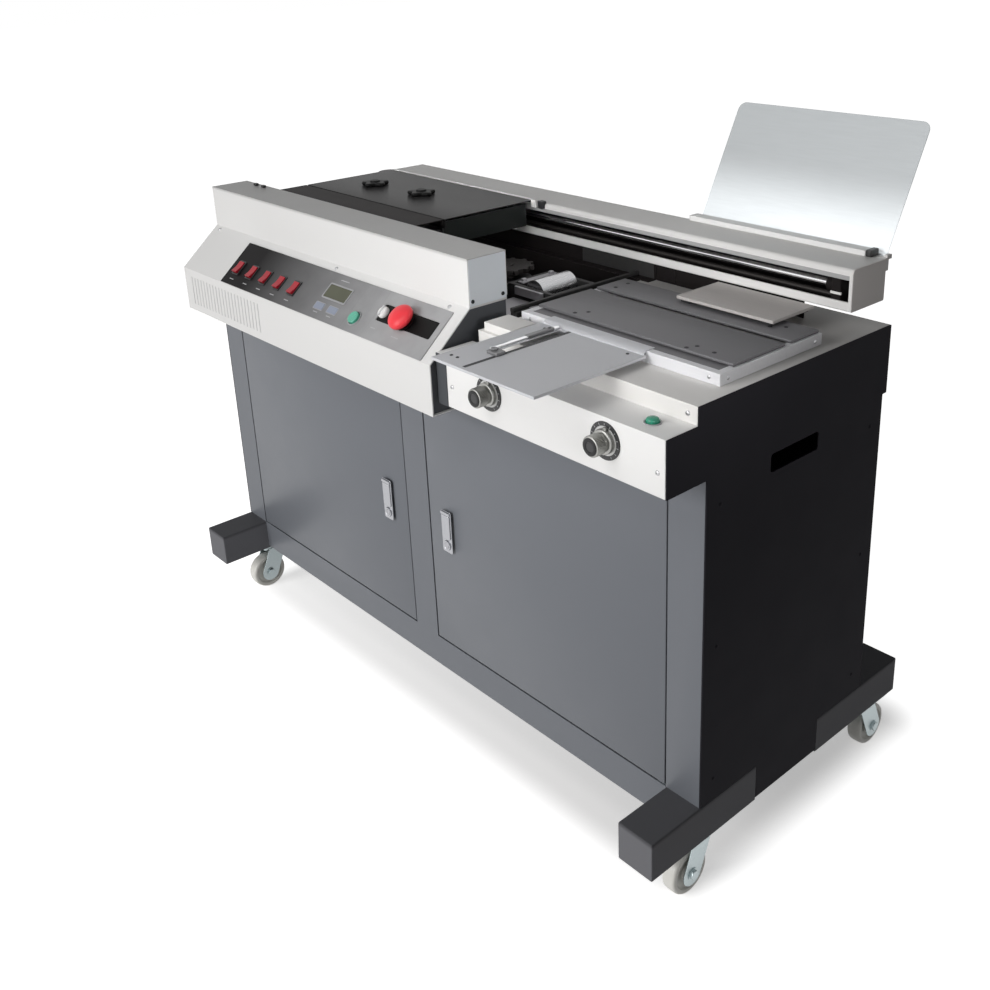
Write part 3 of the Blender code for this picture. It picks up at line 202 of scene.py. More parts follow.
def block(x, y, z, edge=0.0008):
    """A block between two x, two y and two z, all its edges rounded."""
    outline = rounded((x[1] - x[0]) / 2, (y[1] - y[0]) / 2, 1.3 * edge, 3)
    return slab(outline + ((x[0] + x[1]) / 2, (y[0] + y[1]) / 2), z[0], z[1], edge)


def turned(profile, steps=32, closed=False):
    """A profile of radii and heights carried round its axis: each ring is its radius times (cos a, sin a)."""
    radii, heights = np.asarray(profile, float).T
    turn = np.arange(steps) * 2 * math.pi / steps
    return joined(np.stack((np.outer(radii, np.cos(turn)), np.outer(radii, np.sin(turn)),
                            np.repeat(heights[:, None], steps, axis=1)), -1), closed)


ways = {"up": ((1, 0, 0), (0, 1, 0), (0, 0, 1)), "down": ((1, 0, 0), (0, -1, 0), (0, 0, -1)),
        "front": ((1, 0, 0), (0, 0, 1), (0, -1, 0)), "back": ((-1, 0, 0), (0, 0, 1), (0, 1, 0)),
        "right": ((0, 1, 0), (0, 0, 1), (1, 0, 0)), "left": ((0, -1, 0), (0, 0, 1), (-1, 0, 0))}


def stood(shape, place=(0, 0, 0), way="up"):
    """A shape turned so that its height points one way, and moved to its place, counted across from the
    middle, back from the legs' front and up from the floor."""
    points, quads, caps = shape
    axes = np.array(ways[way] if isinstance(way, str) else way, float)
    return points @ axes + np.add(place, leg_front), quads, caps


def piece(name, shapes, surface, body="body", replaced=(), sharp=50):
    """One object of closed shells that rides on its body; broad faces keep their own direction, and only
    edges sharper than the given angle stay hard."""
    starts = np.cumsum([0] + [len(points) for points, quads, caps in shapes])
    faces = []
    for (points, quads, caps), start in zip(shapes, starts):
        faces += (quads + start).tolist() + [(cap + start).tolist() for cap in caps]
    mesh = bpy.data.meshes.new(name)
    mesh.from_pydata(np.vstack([shape[0] for shape in shapes]).tolist(), [], faces)
    work = bmesh.new()
    work.from_mesh(mesh)
    bmesh.ops.recalc_face_normals(work, faces=work.faces)
    work.to_mesh(mesh)
    work.free()
    mesh.shade_smooth()
    mesh.set_sharp_from_angle(angle=math.radians(sharp))
    mesh.materials.append(surface)
    made = bpy.data.objects.new(name, mesh)
    scene.collection.objects.link(made)
    flat = made.modifiers.new("broad_faces_flat", "WEIGHTED_NORMAL")
    flat.keep_sharp = True
    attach(made, body)
    if replaced:
        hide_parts(*replaced)
    return made


def effect(name, inputs, outputs):
    """An empty group with named sockets, its way in and its way out."""
    group = bpy.data.node_groups.new(name, "ShaderNodeTree")
    for label, kind, value in inputs:
        socket = group.interface.new_socket(label, in_out="INPUT", socket_type="NodeSocket" + kind)
        if value is not None:
            socket.default_value = value
    for label, kind in outputs:
        group.interface.new_socket(label, in_out="OUTPUT", socket_type="NodeSocket" + kind)
    return group, group.nodes.new("NodeGroupInput").outputs, group.nodes.new("NodeGroupOutput").inputs


# Paint film: cloudy brightness, a fine orange peel and a gloss that wavers
paint_film, given, out = effect(
    "paint_film",
    [("Coordinates", "Vector", None), ("Colour", "Color", (0.8, 0.8, 0.8, 1)), ("Roughness", "Float", 0.45),
     ("Clouding", "Float", 0.03), ("Peel", "Float", 0.00006)],
    [("Colour", "Color"), ("Roughness", "Float"), ("Normal", "Vector")])
cloud = added(paint_film, "ShaderNodeTexNoise", {"Vector": given["Coordinates"], "Scale": 3.1, "Detail": 4.0})
swing = added(paint_film, "ShaderNodeMath", {0: cloud.outputs["Fac"], 1: -0.5}, operation="ADD")
amount = added(paint_film, "ShaderNodeMath", {0: swing.outputs[0], 1: given["Clouding"]}, operation="MULTIPLY")
shade = added(paint_film, "ShaderNodeMath", {0: amount.outputs[0], 1: 2.0, 2: 1.0}, operation="MULTIPLY_ADD")
tinted = added(paint_film, "ShaderNodeVectorMath", {0: given["Colour"], "Scale": shade.outputs[0]},
               operation="SCALE")
wave = added(paint_film, "ShaderNodeTexNoise", {"Vector": given["Coordinates"], "Scale": 17.0, "Detail": 3.0})
gloss = added(paint_film, "ShaderNodeMath", {0: wave.outputs["Fac"], 1: -0.5}, operation="ADD")
gloss = added(paint_film, "ShaderNodeMath", {0: gloss.outputs[0], 1: 0.10, 2: given["Roughness"]},
              operation="MULTIPLY_ADD")
grain = added(paint_film, "ShaderNodeTexNoise", {"Vector": given["Coordinates"], "Scale": 520.0, "Detail": 2.0})
skin = added(paint_film, "ShaderNodeBump", {"Strength": 0.6, "Distance": given["Peel"],
                                            "Height": grain.outputs["Fac"]})
paint_film.links.new(tinted.outputs["Vector"], out["Colour"])
paint_film.links.new(gloss.outputs[0], out["Roughness"])
paint_film.links.new(skin.outputs["Normal"], out["Normal"])


def finish(name, group, colour, roughness, metallic=0, specular=0.5, coat=0, **amounts):
    """A material whose colour, gloss and relief come from one effect; what is even all over is set on the
    shader itself."""
    made = bpy.data.materials.new(name)
    made.use_nodes = True
    tree = made.node_tree
    shader = tree.nodes["Principled BSDF"]
    shader.inputs["Metallic"].default_value = metallic
    shader.inputs["Specular IOR Level"].default_value = specular
    shader.inputs["Coat Weight"].default_value = coat
    shader.inputs["Coat Roughness"].default_value = 0.15
    spot = added(tree, "ShaderNodeTexCoord")
    film = added(tree, "ShaderNodeGroup", node_tree=group)
    tree.links.new(spot.outputs["Object"], film.inputs["Coordinates"])
    film.inputs["Colour"].default_value = (*colour, 1)
    film.inputs["Roughness"].default_value = roughness
    for label, value in amounts.items():
        film.inputs[label].default_value = value
    tree.links.new(film.outputs["Colour"], shader.inputs["Base Color"])
    tree.links.new(film.outputs["Roughness"], shader.inputs["Roughness"])
    tree.links.new(film.outputs["Normal"], shader.inputs["Normal"])
    return made


def faded(made, axis, start, end, first, last):
    """A material whose colour changes evenly along one axis: multiplied by the first share up to the start
    and by the last one from the end on."""
    tree = made.node_tree
    shader = tree.nodes["Principled BSDF"]
    apart = added(tree, "ShaderNodeSeparateXYZ", {0: added(tree, "ShaderNodeTexCoord").outputs["Object"]})
    share = added(tree, "ShaderNodeMapRange", {"Value": apart.outputs[axis], "From Min": start, "From Max": end,
                                               "To Min": first, "To Max": last},
                  interpolation_type="SMOOTHSTEP")
    scaled = added(tree, "ShaderNodeVectorMath", {0: shader.inputs["Base Color"].links[0].from_socket,
                                                  "Scale": share.outputs["Result"]}, operation="SCALE")
    tree.links.new(scaled.outputs["Vector"], shader.inputs["Base Color"])


# Metal grain: fine scratches drawn out along one direction
metal_grain, given, out = effect(
    "metal_grain",
    [("Coordinates", "Vector", None), ("Colour", "Color", (0.6, 0.6, 0.6, 1)), ("Roughness", "Float", 0.3),
     ("Stretch", "Vector", (1, 1, 1)), ("Contrast", "Float", 0.10), ("Depth", "Float", 0.00002)],
    [("Colour", "Color"), ("Roughness", "Float"), ("Normal", "Vector")])
drawn = added(metal_grain, "ShaderNodeVectorMath", {0: given["Coordinates"], 1: given["Stretch"]},
              operation="MULTIPLY")
line = added(metal_grain, "ShaderNodeTexNoise", {"Vector": drawn.outputs["Vector"], "Scale": 60.0, "Detail": 4.0})
swing = added(metal_grain, "ShaderNodeMath", {0: line.outputs["Fac"], 1: -0.5}, operation="ADD")
amount = added(metal_grain, "ShaderNodeMath", {0: swing.outputs[0], 1: given["Contrast"]}, operation="MULTIPLY")
shade = added(metal_grain, "ShaderNodeMath", {0: amount.outputs[0], 1: 2.0, 2: 1.0}, operation="MULTIPLY_ADD")
tinted = added(metal_grain, "ShaderNodeVectorMath", {0: given["Colour"], "Scale": shade.outputs[0]},
               operation="SCALE")
gloss = added(metal_grain, "ShaderNodeMath", {0: amount.outputs[0], 1: 1.5, 2: given["Roughness"]},
              operation="MULTIPLY_ADD")
skin = added(metal_grain, "ShaderNodeBump", {"Strength": 0.5, "Distance": given["Depth"],
                                             "Height": line.outputs["Fac"]})
metal_grain.links.new(tinted.outputs["Vector"], out["Colour"])
metal_grain.links.new(gloss.outputs[0], out["Roughness"])
metal_grain.links.new(skin.outputs["Normal"], out["Normal"])

# Moulded plastic: a faint sparkle of the mould's texture and slow flow marks
moulded, given, out = effect(
    "moulded_plastic",
    [("Coordinates", "Vector", None), ("Colour", "Color", (0.1, 0.1, 0.1, 1)), ("Roughness", "Float", 0.4),
     ("Texture", "Float", 0.00005)],
    [("Colour", "Color"), ("Roughness", "Float"), ("Normal", "Vector")])
flow = added(moulded, "ShaderNodeTexNoise", {"Vector": given["Coordinates"], "Scale": 26.0, "Detail": 2.0})
shade = added(moulded, "ShaderNodeMapRange", {"Value": flow.outputs["Fac"], "From Min": 0.3, "From Max": 0.7,
                                              "To Min": 0.93, "To Max": 1.07})
tinted = added(moulded, "ShaderNodeVectorMath", {0: given["Colour"], "Scale": shade.outputs["Result"]},
               operation="SCALE")
pits = added(moulded, "ShaderNodeTexNoise", {"Vector": given["Coordinates"], "Scale": 1400.0, "Detail": 1.0})
gloss = added(moulded, "ShaderNodeMath", {0: pits.outputs["Fac"], 1: -0.5}, operation="ADD")
gloss = added(moulded, "ShaderNodeMath", {0: gloss.outputs[0], 1: 0.2, 2: given["Roughness"]},
              operation="MULTIPLY_ADD")
skin = added(moulded, "ShaderNodeBump", {"Strength": 0.5, "Distance": given["Texture"],
                                         "Height": pits.outputs["Fac"]})
moulded.links.new(tinted.outputs["Vector"], out["Colour"])
moulded.links.new(gloss.outputs[0], out["Roughness"])
moulded.links.new(skin.outputs["Normal"], out["Normal"])

charcoal = finish("charcoal_powder_coat", paint_film, (0.026, 0.025, 0.030), 0.55, specular=0.02, Clouding=0.015,
                  Peel=0.00009)
foot_grey_top_shaded = finish("foot_grey_coat_top_shaded", paint_film, (0.188, 0.189, 0.202), 0.50, specular=0.02, Clouding=0.015,
                   Peel=0.00009)
# Painted shade: the feet's colour darkens to 0.55 over their top 7.5 mm, so their top faces read darker than their
# fronts.
faded(foot_grey_top_shaded, "Z", 0.1600, 0.1675, 1.0, 0.55)
zinc = finish("zinc_plate", metal_grain, (0.37, 0.42, 0.43), 0.34, 1, Stretch=(3, 3, 9), Contrast=0.16)
black_plastic = finish("black_plastic", moulded, (0.012, 0.012, 0.013), 0.42)
foot_low, foot_high = 0.104, 0.168
foot_middle, foot_half = 0.6075, 0.0325
foot_ends = (-0.100, 0.510)
set_back, set_back_depths = 0.0024, (0.1279, 0.2821)


def foot_beam(side):
    """A rounded rectangle carried from front to back; along the middle its outer half is moved in by the
    side panel's thickness."""
    depths, insets = rim(foot_ends[0], foot_ends[1], 0.002)
    step = np.repeat(set_back_depths, 2)
    depths = np.concatenate((depths[:3], step, depths[3:]))
    insets = np.concatenate((insets[:3], np.zeros(4), insets[3:]))
    moved = np.array([0, 0, 0, 0, set_back, set_back, 0, 0, 0, 0])
    outline = rounded(foot_half, (foot_high - foot_low) / 2, 0.0024)
    rings = []
    for depth, inset, back in zip(depths, insets, moved):
        ring = drawn_in(outline, inset)
        across = ring[:, 0] - back * (ring[:, 0] > 0)
        rings.append(np.column_stack((side * (foot_middle + across), np.full(len(ring), depth),
                                      (foot_low + foot_high) / 2 + ring[:, 1])))
    return joined(rings)


swivels = {"front_left": (-foot_middle, 0.030, -1), "front_right": (foot_middle, 0.030, -1),
           "rear_left": (-foot_middle, 0.455, 1), "rear_right": (foot_middle, 0.455, 1)}
piece("left_foot_beam", [stood(foot_beam(-1))], foot_grey_top_shaded, replaced=["left_foot"])
piece("right_foot_beam", [stood(foot_beam(1))], foot_grey_top_shaded, replaced=["right_foot"])
piece("foot_plugs", [stood(slab(rounded(0.0285, 0.028, 0.004), -0.0010, 0.0016), (x, foot_ends[1], 0.136), "back")
                     for x in (-foot_middle, foot_middle)], black_plastic)
plates = []
for x, y, trail in swivels.values():
    plates.append(stood(slab(rounded(0.030, 0.042, 0.006), 0.1010, 0.1042), (x, y, 0)))
    plates.append(stood(turned([(0.0180, 0.0920), (0.0206, 0.0926), (0.0224, 0.0948), (0.0224, 0.0968),
                                (0.0206, 0.0990), (0.0186, 0.1000), (0.0190, 0.1012)]), (x, y, 0)))
    for across in (-0.022, 0.022):
        for along in (-0.033, 0.033):
            plates.append(stood(turned([(0.0046, 0.0962), (0.0054, 0.0970), (0.0054, 0.1002)], 6),
                                (x + across, y + along, 0)))
            plates.append(stood(turned([(0.0072, 0.1000), (0.0074, 0.1004), (0.0074, 0.1012)]),
                                (x + across, y + along, 0)))
piece("caster_plates", plates, zinc)

# Casters
# Pressed zinc forks that swivel on a ball race, each with a nylon wheel on a bolt with a hexagon head and a
# lock nut; the wheels have a crowned tread, a sunk web and a hub.
nylon = finish("nylon_wheel", moulded, (0.80, 0.79, 0.74), 0.36, Texture=0.00008)
crown_top, axle_drop, axle_height, trail_length = 0.0917, 0.0545, 0.0372, 0.025
half_profile = np.array([(0.0055, 0.0128), (0.0085, 0.0134), (0.0122, 0.0132), (0.0134, 0.0120),
                         (0.0142, 0.0090), (0.0165, 0.0078), (0.0255, 0.0078), (0.0272, 0.0088),
                         (0.0280, 0.0112), (0.0290, 0.0123), (0.0330, 0.0123), (0.0352, 0.0114),
                         (0.0365, 0.0092), (0.0371, 0.0050)])
wheel_profile = np.vstack((half_profile, half_profile[::-1] * (1, -1)))
for place, (x, y, trail) in swivels.items():
    arc = np.radians(23 - 181 * np.linspace(0, 1, 20))
    leg = np.vstack(([(-0.0176, 0), (0.0222, 0)],
                     np.stack((trail_length + 0.0190 * np.cos(arc), -axle_drop + 0.0190 * np.sin(arc)), -1)))[::-1]
    if trail < 0:
        leg = (leg * (-1, 1))[::-1]
    axle_y = y + trail * trail_length
    fork = [stood(slab(leg, 0.01475, 0.01715, 0.0006), (x, y, crown_top - 0.0012), "right"),
            stood(slab(leg, -0.01715, -0.01475, 0.0006), (x, y, crown_top - 0.0012), "right"),
            stood(slab(rounded(0.01715, 0.0180, 0.003), -0.0028, -0.0002), (x, y, crown_top)),
            stood(turned([(0.0226, -0.0026), (0.0232, -0.0018), (0.0232, -0.0008), (0.0220, 0.0000)]),
                  (x, y, crown_top)),
            stood(turned([(0.0048, -0.0185), (0.0048, 0.0185)], 20), (x, axle_y, axle_height), "right"),
            stood(turned([(0.0094, 0.0168), (0.0098, 0.0172), (0.0098, 0.0184)]), (x, axle_y, axle_height), "right"),
            stood(turned([(0.0072, 0.0180), (0.0078, 0.0184), (0.0078, 0.0218), (0.0068, 0.0226)], 6),
                  (x, axle_y, axle_height), "right"),
            stood(turned([(0.0094, 0.0168), (0.0098, 0.0172), (0.0098, 0.0184)]), (x, axle_y, axle_height), "left"),
            stood(turned([(0.0080, 0.0180), (0.0086, 0.0184), (0.0086, 0.0210), (0.0074, 0.0220)], 6),
                  (x, axle_y, axle_height), "left")]
    piece("fork_" + place, fork, zinc, "caster_fork_" + place, ["caster_fork_" + place])
    piece("wheel_" + place, [stood(turned(wheel_profile, 48, True), (x, axle_y, axle_height), "right")],
          nylon, "caster_wheel_" + place, ["caster_wheel_" + place])

# Cabinet
# A welded frame of square tubes inside a shell of 2 mm sheet: grey front frame, ventilated rear panel, floor
# and top deck, and charcoal side panels with a hand slot, held by small countersunk screws.
grey = finish("grey_powder_coat", paint_film, (0.166, 0.176, 0.196), 0.42, specular=0.2, Clouding=0.015,
              Peel=0.00008)
inner_grey = finish("inside_grey_coat", paint_film, (0.090, 0.094, 0.102), 0.55, specular=0.3)
screw_steel = finish("screw_steel", metal_grain, (0.46, 0.46, 0.47), 0.34, 1, Stretch=(5, 5, 5))


def rounded_copy(name, surface, fold=0.0014, cut=0.0005, body="body", source="", wide=0.005, segments=3,
                 low_rim=None):
    """A sheet piece with the CAD node's own shape: its loose triangles are merged, folds between broad faces
    get a round of the fold's radius, and cut rims a finer one. With a low rim, a tray's walls end at that
    height instead of reaching down to what carries it."""
    source = source or name
    mesh = node[source].data.copy()
    mesh.name = name
    if low_rim:
        points = np.empty(len(mesh.vertices) * 3)
        mesh.vertices.foreach_get("co", points)
        points[2::3] = np.maximum(points[2::3], low_rim)
        mesh.vertices.foreach_set("co", points)
    work = bmesh.new()
    work.from_mesh(mesh)
    bmesh.ops.remove_doubles(work, verts=work.verts, dist=0.00002)
    bmesh.ops.dissolve_limit(work, angle_limit=math.radians(0.5), verts=work.verts, edges=work.edges)
    weight = work.edges.layers.float.new("bevel_weight_edge")
    for edge in work.edges:
        if edge.calc_face_angle(0) > math.radians(28):
            breadth = min(face.calc_area() for face in edge.link_faces) / edge.calc_length()
            edge[weight] = 1 if breadth > wide else cut / fold
    work.to_mesh(mesh)
    work.free()
    mesh.shade_smooth()
    mesh.set_sharp_from_angle(angle=math.radians(50))
    mesh.materials.clear()
    mesh.materials.append(surface)
    made = bpy.data.objects.new(name, mesh)
    scene.collection.objects.link(made)
    edges = made.modifiers.new("edges", "BEVEL")
    edges.limit_method = "WEIGHT"
    edges.width = fold
    edges.segments = segments
    edges.use_clamp_overlap = True
    edges.harden_normals = True
    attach(made, body)
    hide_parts(source)
    return made


def screw(radius=0.0035, height=0.0018, depth=0.0014):
    """A pan head with a crossed recess: rings of a low dome, and inside them rings whose radius is a cross,
    the recess' radius times 0.35 plus 0.65 times the sixth power of the cosine of twice the angle."""
    turn = np.arange(24) * 2 * math.pi / 24
    even, cross = np.ones(24), 0.35 + 0.65 * np.cos(2 * turn) ** 6
    rows = [(radius, -0.0006, even), (radius, 0.0003, even), (0.88 * radius, 0.62 * height, even),
            (0.66 * radius, height, even), (0.52 * radius, height, cross), (0.40 * radius, height - depth, cross)]
    return joined([np.column_stack((reach * shape * np.cos(turn), reach * shape * np.sin(turn),
                                    np.full(24, level))) for reach, level, shape in rows])


for name in ("cabinet_frame", "top_deck"):
    node[name].data.materials.clear()
    node[name].data.materials.append(charcoal)
node["cabinet_floor"].data.materials.clear()
node["cabinet_floor"].data.materials.append(inner_grey)
rounded_copy("front_frame_sheet", grey, 0.0007, 0.0004, source="front_frame")
rounded_copy("rear_panel_sheet", grey, 0.0007, 0.0004, source="back_panel")
rounded_copy("right_side_sheet", charcoal, 0.0007, 0.0004, source="right_side_panel")
rounded_copy("left_side_sheet", charcoal, 0.0007, 0.0004, source="left_side_panel")
piece("rear_panel_screws", [stood(screw(), (x, 0.400, z), "back") for x in (-0.56, -0.19, 0.19, 0.56)
                            for z in (0.20, 0.655)], screw_steel)
piece("side_panel_screws", [stood(screw(0.0030, 0.0009, 0.0003), (0.640 if way == "right" else -0.640, y, z), way)
                            for way in ("right", "left") for y in (0.028, 0.372) for z in (0.205, 0.425, 0.640)],
      charcoal)

# Doors
# Two folded grey trays on pins, each with a chromed paddle latch: a flat plate with a raised paddle, a finger
# hollow above it and a round lock below. Bright strips with pins carry them at their outer edges.
chrome = finish("satin_chrome", metal_grain, (0.36, 0.365, 0.385), 0.24, 1, Stretch=(8, 8, 1), Contrast=0.08)
lock_dark = finish("lock_dark_steel", metal_grain, (0.34, 0.34, 0.36), 0.30, 1, Stretch=(4, 4, 4))
for side in ("left", "right"):
    rounded_copy(side + "_door_tray", grey, 0.0011, 0.0004, side + "_door", side + "_door")
    node[side + "_door_hinge"].data.materials.clear()
    node[side + "_door_hinge"].data.materials.append(zinc)
    low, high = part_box(side + "_latch")
    middle = (low + high) / 2
    place = (middle.x, -0.0035, middle.z)
    plate = [stood(slab(rounded(0.0128, 0.0390, 0.0030), 0, 0.0026, 0.0008), place, "front"),
             stood(slab(rounded(0.0102, 0.0225, 0.0030) + (0, 0.0095), 0.0018, 0.0048, 0.0012), place, "front"),
             stood(slab(rounded(0.0116, 0.0028, 0.0014) + (0, 0.0350), 0.0018, 0.0052, 0.0010), place, "front"),
             stood(turned([(0.0088, 0.0015), (0.0092, 0.0035), (0.0086, 0.0046), (0.0066, 0.0049),
                           (0.0060, 0.0042)]), (middle.x, -0.0035, middle.z - 0.0255), "front")]
    piece(side + "_paddle_latch", plate, chrome, side + "_latch", [side + "_latch"])
    core = [stood(turned([(0.0055, 0.0036), (0.0055, 0.0045), (0.0050, 0.0050)]), (middle.x, -0.0035, middle.z - 0.0255),
                  "front"),
            stood(slab(rounded(0.0006, 0.0034, 0.0005, 3), 0.0044, 0.0052, 0.0002),
                  (middle.x, -0.0035, middle.z - 0.0255), "front")]
    piece(side + "_lock_core", core, lock_dark, side + "_latch")
piece("door_seals", [stood(block((x - 0.0031, x + 0.0031), (0.0024, 0.0052), (0.1700, 0.6560), 0.0008))
                     for x in (-0.0291, 0.0291)], black_plastic)

# Apron
# One white painted sheet: front, shelf and underside. It carries two zinc knobs with knurled grips over
# engraved dials, a green push button with a bezel, and small screws at its ends.
white = finish("white_paint_film", paint_film, (0.855, 0.850, 0.840), 0.40, specular=0.12, Clouding=0.012)
dial_face = finish("dial_face", metal_grain, (0.46, 0.46, 0.455), 0.40, 0.6, Stretch=(6, 6, 6))
knob_zinc = finish("knob_zinc", metal_grain, (0.32, 0.32, 0.305), 0.36, 1, Stretch=(3, 3, 9), Contrast=0.2)
knob_end = finish("knob_end_grey", moulded, (0.020, 0.020, 0.021), 0.42, specular=0.2)
grey_plastic = finish("grey_plastic", moulded, (0.34, 0.34, 0.35), 0.42)
print_light = finish("pale_print", moulded, (0.42, 0.42, 0.43), 0.45)
green_cap = finish("green_button_cap", moulded, (0.020, 0.270, 0.165), 0.30)
rounded_copy("apron_sheet", white, 0.0016, 0.0005, source="apron")
apron_front, dial_stand = -0.0760, 0.0012
knobs = {"left": 0.306, "right": 0.536}
knob_height = 0.732
ring_turn = np.arange(60) * 2 * math.pi / 60


def annulus(outer, inner, low, high, steps=48, edge=0.0003):
    """A flat ring: a rectangular section with small chamfers carried round the axis."""
    return turned([(inner, low), (outer, low), (outer, high - edge), (outer - edge, high), (inner + edge, high),
                   (inner, high - edge)], steps, True)


def ticks(count, start, sweep, inner, outer, width, low, high):
    """Marks on a dial: short bars at even turns, each a thin block from the inner to the outer radius."""
    marks = []
    for turn in np.radians(start + sweep * np.arange(count) / (count - 1)):
        points, quads, caps = block((inner, outer), (-width / 2, width / 2), (low, high), 0.0001)
        turned_points = points @ np.array(((math.cos(turn), math.sin(turn), 0),
                                           (-math.sin(turn), math.cos(turn), 0), (0, 0, 1)))
        marks.append((turned_points, quads, caps))
    return marks


def knurled(radius, low, high, ridges=44, depth=0.0006):
    """A grip whose radius waves round its axis: the radius plus the depth times the cosine of the ridge
    count times the angle, fading to nothing at both rims."""
    turn = np.arange(ridges * 4) * 2 * math.pi / (ridges * 4)
    rows = [(radius - 0.0022, low, 0), (radius - 0.0006, low + 0.0008, 0.6), (radius - 0.0003, low + 0.0020, 1),
            (radius - 0.0003, high - 0.0020, 1), (radius - 0.0006, high - 0.0008, 0.6), (radius - 0.0022, high, 0)]
    reach = np.array([base + share * depth * np.cos(ridges * turn) for base, level, share in rows])
    levels = np.array([[level] * len(turn) for base, level, share in rows])
    return joined(np.stack((reach * np.cos(turn), reach * np.sin(turn), levels), -1))


for side, across in knobs.items():
    at_dial = (across, apron_front - dial_stand, knob_height)
    piece(side + "_dial_ring", [stood(annulus(0.0262, 0.0203, -0.0010, 0.0007), at_dial, "front")],
          black_plastic)
    piece(side + "_dial_marks", [stood(mark, at_dial, "front")
                                 for mark in ticks(13, -60, 300, 0.0216, 0.0246, 0.0007, 0.0005, 0.0009)],
          print_light)
    piece(side + "_dial_face", [stood(slab(rounded(0.0201, 0.0201, 0.0200, 12), -0.0008, 0.0003, 0.0002),
                                      at_dial, "front")], dial_face)
    grip = [stood(turned([(0.0168, 0.0005), (0.0172, 0.0010), (0.0172, 0.0058), (0.0160, 0.0070),
                          (0.0120, 0.0072), (0.0120, 0.0104)], 40), at_dial, "front"),
            stood(knurled(0.0142, 0.0100, 0.0268), at_dial, "front"),
            stood(turned([(0.0022, 0.0), (0.0026, 0.0006), (0.0026, 0.0046), (0.0018, 0.0050)], 12),
                  (across + 0.004, apron_front - dial_stand - 0.0042, knob_height + 0.0160), "up")]
    piece(side + "_knob", grip, knob_zinc, side + "_adjusting_knob", [side + "_adjusting_knob"])
    piece(side + "_knob_insert", [stood(turned([(0.0122, 0.0255), (0.0122, 0.0272), (0.0114, 0.0279),
                                                (0.0074, 0.0279), (0.0068, 0.0274), (0.0064, 0.0262)], 28),
                                        at_dial, "front")],
          knob_end, side + "_adjusting_knob")
    piece(side + "_knob_hollow", [stood(turned([(0.0066, 0.0262), (0.0066, 0.0271), (0.0030, 0.0273)], 20),
                                        at_dial, "front")],
          black_plastic, side + "_adjusting_knob")
button_place = (0.590, -0.047, 0.764)
piece("shelf_button_cap", [stood(turned([(0.0088, -0.0110), (0.0088, 0.0040), (0.0078, 0.0062), (0.0054, 0.0074),
                                         (0.0020, 0.0078)], 28), button_place)],
      green_cap, "shelf_button", ["shelf_button"])
piece("shelf_button_bezel", [stood(annulus(0.0118, 0.0098, -0.0002, 0.0016, 36), button_place)],
      grey_plastic)
piece("apron_screws", [stood(screw(), (x, -0.0760, z), "front") for x, z in ((0.221, 0.718), (0.625, 0.717))]
      + [stood(screw(), (0.622, -0.0180, 0.777), "front")], screw_steel)

# Console
# A folded white cover over the control gear, its vents backed by a baffle, with dark end plates set in. On
# its slope lie a printed overlay, five rockers in bezels, a display, two membrane keys, a green start
# button, and a black recess with a white turn knob and the red mushroom button.
slate = finish("slate_end_plate", paint_film, (0.120, 0.126, 0.136), 0.50, specular=0.05)
strip_slate = finish("slate_joint_strip", paint_film, (0.078, 0.083, 0.090), 0.50, specular=0.05)
pale_plastic = finish("pale_plastic", moulded, (0.62, 0.63, 0.64), 0.38)
red_plastic = finish("red_rocker_plastic", moulded, (0.40, 0.012, 0.024), 0.34, specular=0.3)
mushroom_red = finish("mushroom_red", moulded, (0.86, 0.045, 0.060), 0.34, specular=0.3)
recess_black = finish("recess_black", moulded, (0.006, 0.006, 0.006), 0.5, specular=0.1)
key_blue = finish("key_blue_grey", moulded, (0.25, 0.28, 0.36), 0.36)
mint = finish("mint_button", moulded, (0.080, 0.420, 0.290), 0.28, coat=0.3)
console_fold, slope = (-0.089, 0.746), math.atan2(0.069, 0.079)
slope_axes = ((1, 0, 0), (0, math.cos(slope), math.sin(slope)), (0, -math.sin(slope), math.cos(slope)))
rocker_axes = (slope_axes[1], slope_axes[2], slope_axes[0])
panel_ends, panel_ups, panel_top = (-0.451, 0.163), (0.001, 0.0905), 0.0018


def on_slope(shape, across, up, out=panel_top, axes=slope_axes):
    """A shape laid on the console's slope: across, up from the fold and out from the painted sheet."""
    place = np.array((across, *console_fold)) + up * np.array(slope_axes[1]) + out * np.array(slope_axes[2])
    return stood(shape, place, axes)


console_paint_top_shaded = finish("console_paint_top_shaded", paint_film, (0.765, 0.760, 0.750), 0.40, specular=0.12, Clouding=0.012)
# Painted shade: the console cover's colour darkens to 0.68 over its top 5 mm, so its top face reads darker than its
# front.
faded(console_paint_top_shaded, "Z", 0.8845, 0.8895, 1.0, 0.68)
rounded_copy("console_cover", console_paint_top_shaded, 0.0024, 0.0005, source="console_shell")
rounded_copy("left_console_plate", slate, 0.0006, 0.0004, source="left_console_end")
rounded_copy("right_console_plate", slate, 0.0006, 0.0004, source="right_console_end")
baffle_grey = finish("baffle_grey", paint_film, (0.58, 0.58, 0.58), 0.5, specular=0.2)
piece("vent_baffle", [stood(block((-0.578, -0.306), (-0.0884, -0.0868), (0.674, 0.738), 0.0004))], baffle_grey)
piece("joint_strip", [stood(block((0.1864, 0.2095), (-0.0772, -0.0758), (0.6842, 0.7636), 0.0003))], strip_slate)
# The end sheets are pale paint; their bluish tint is a painted reflection of the pale studio.
end_sheet_reflection_tint = finish("box_end_sheet_reflection_tint", paint_film, (0.82, 0.86, 0.90), 0.45, specular=0.2, Clouding=0.02)
piece("box_end_plates", [stood(slab(between_ends, 0, 0.0008, 0.0003), (x, 0.0270, 0.8525), way)
                         for x, way in ((0.1858, "right"), (-0.5998, "left"))
                         for between_ends in [rounded(0.0355, 0.0360, 0.0020)]], end_sheet_reflection_tint)

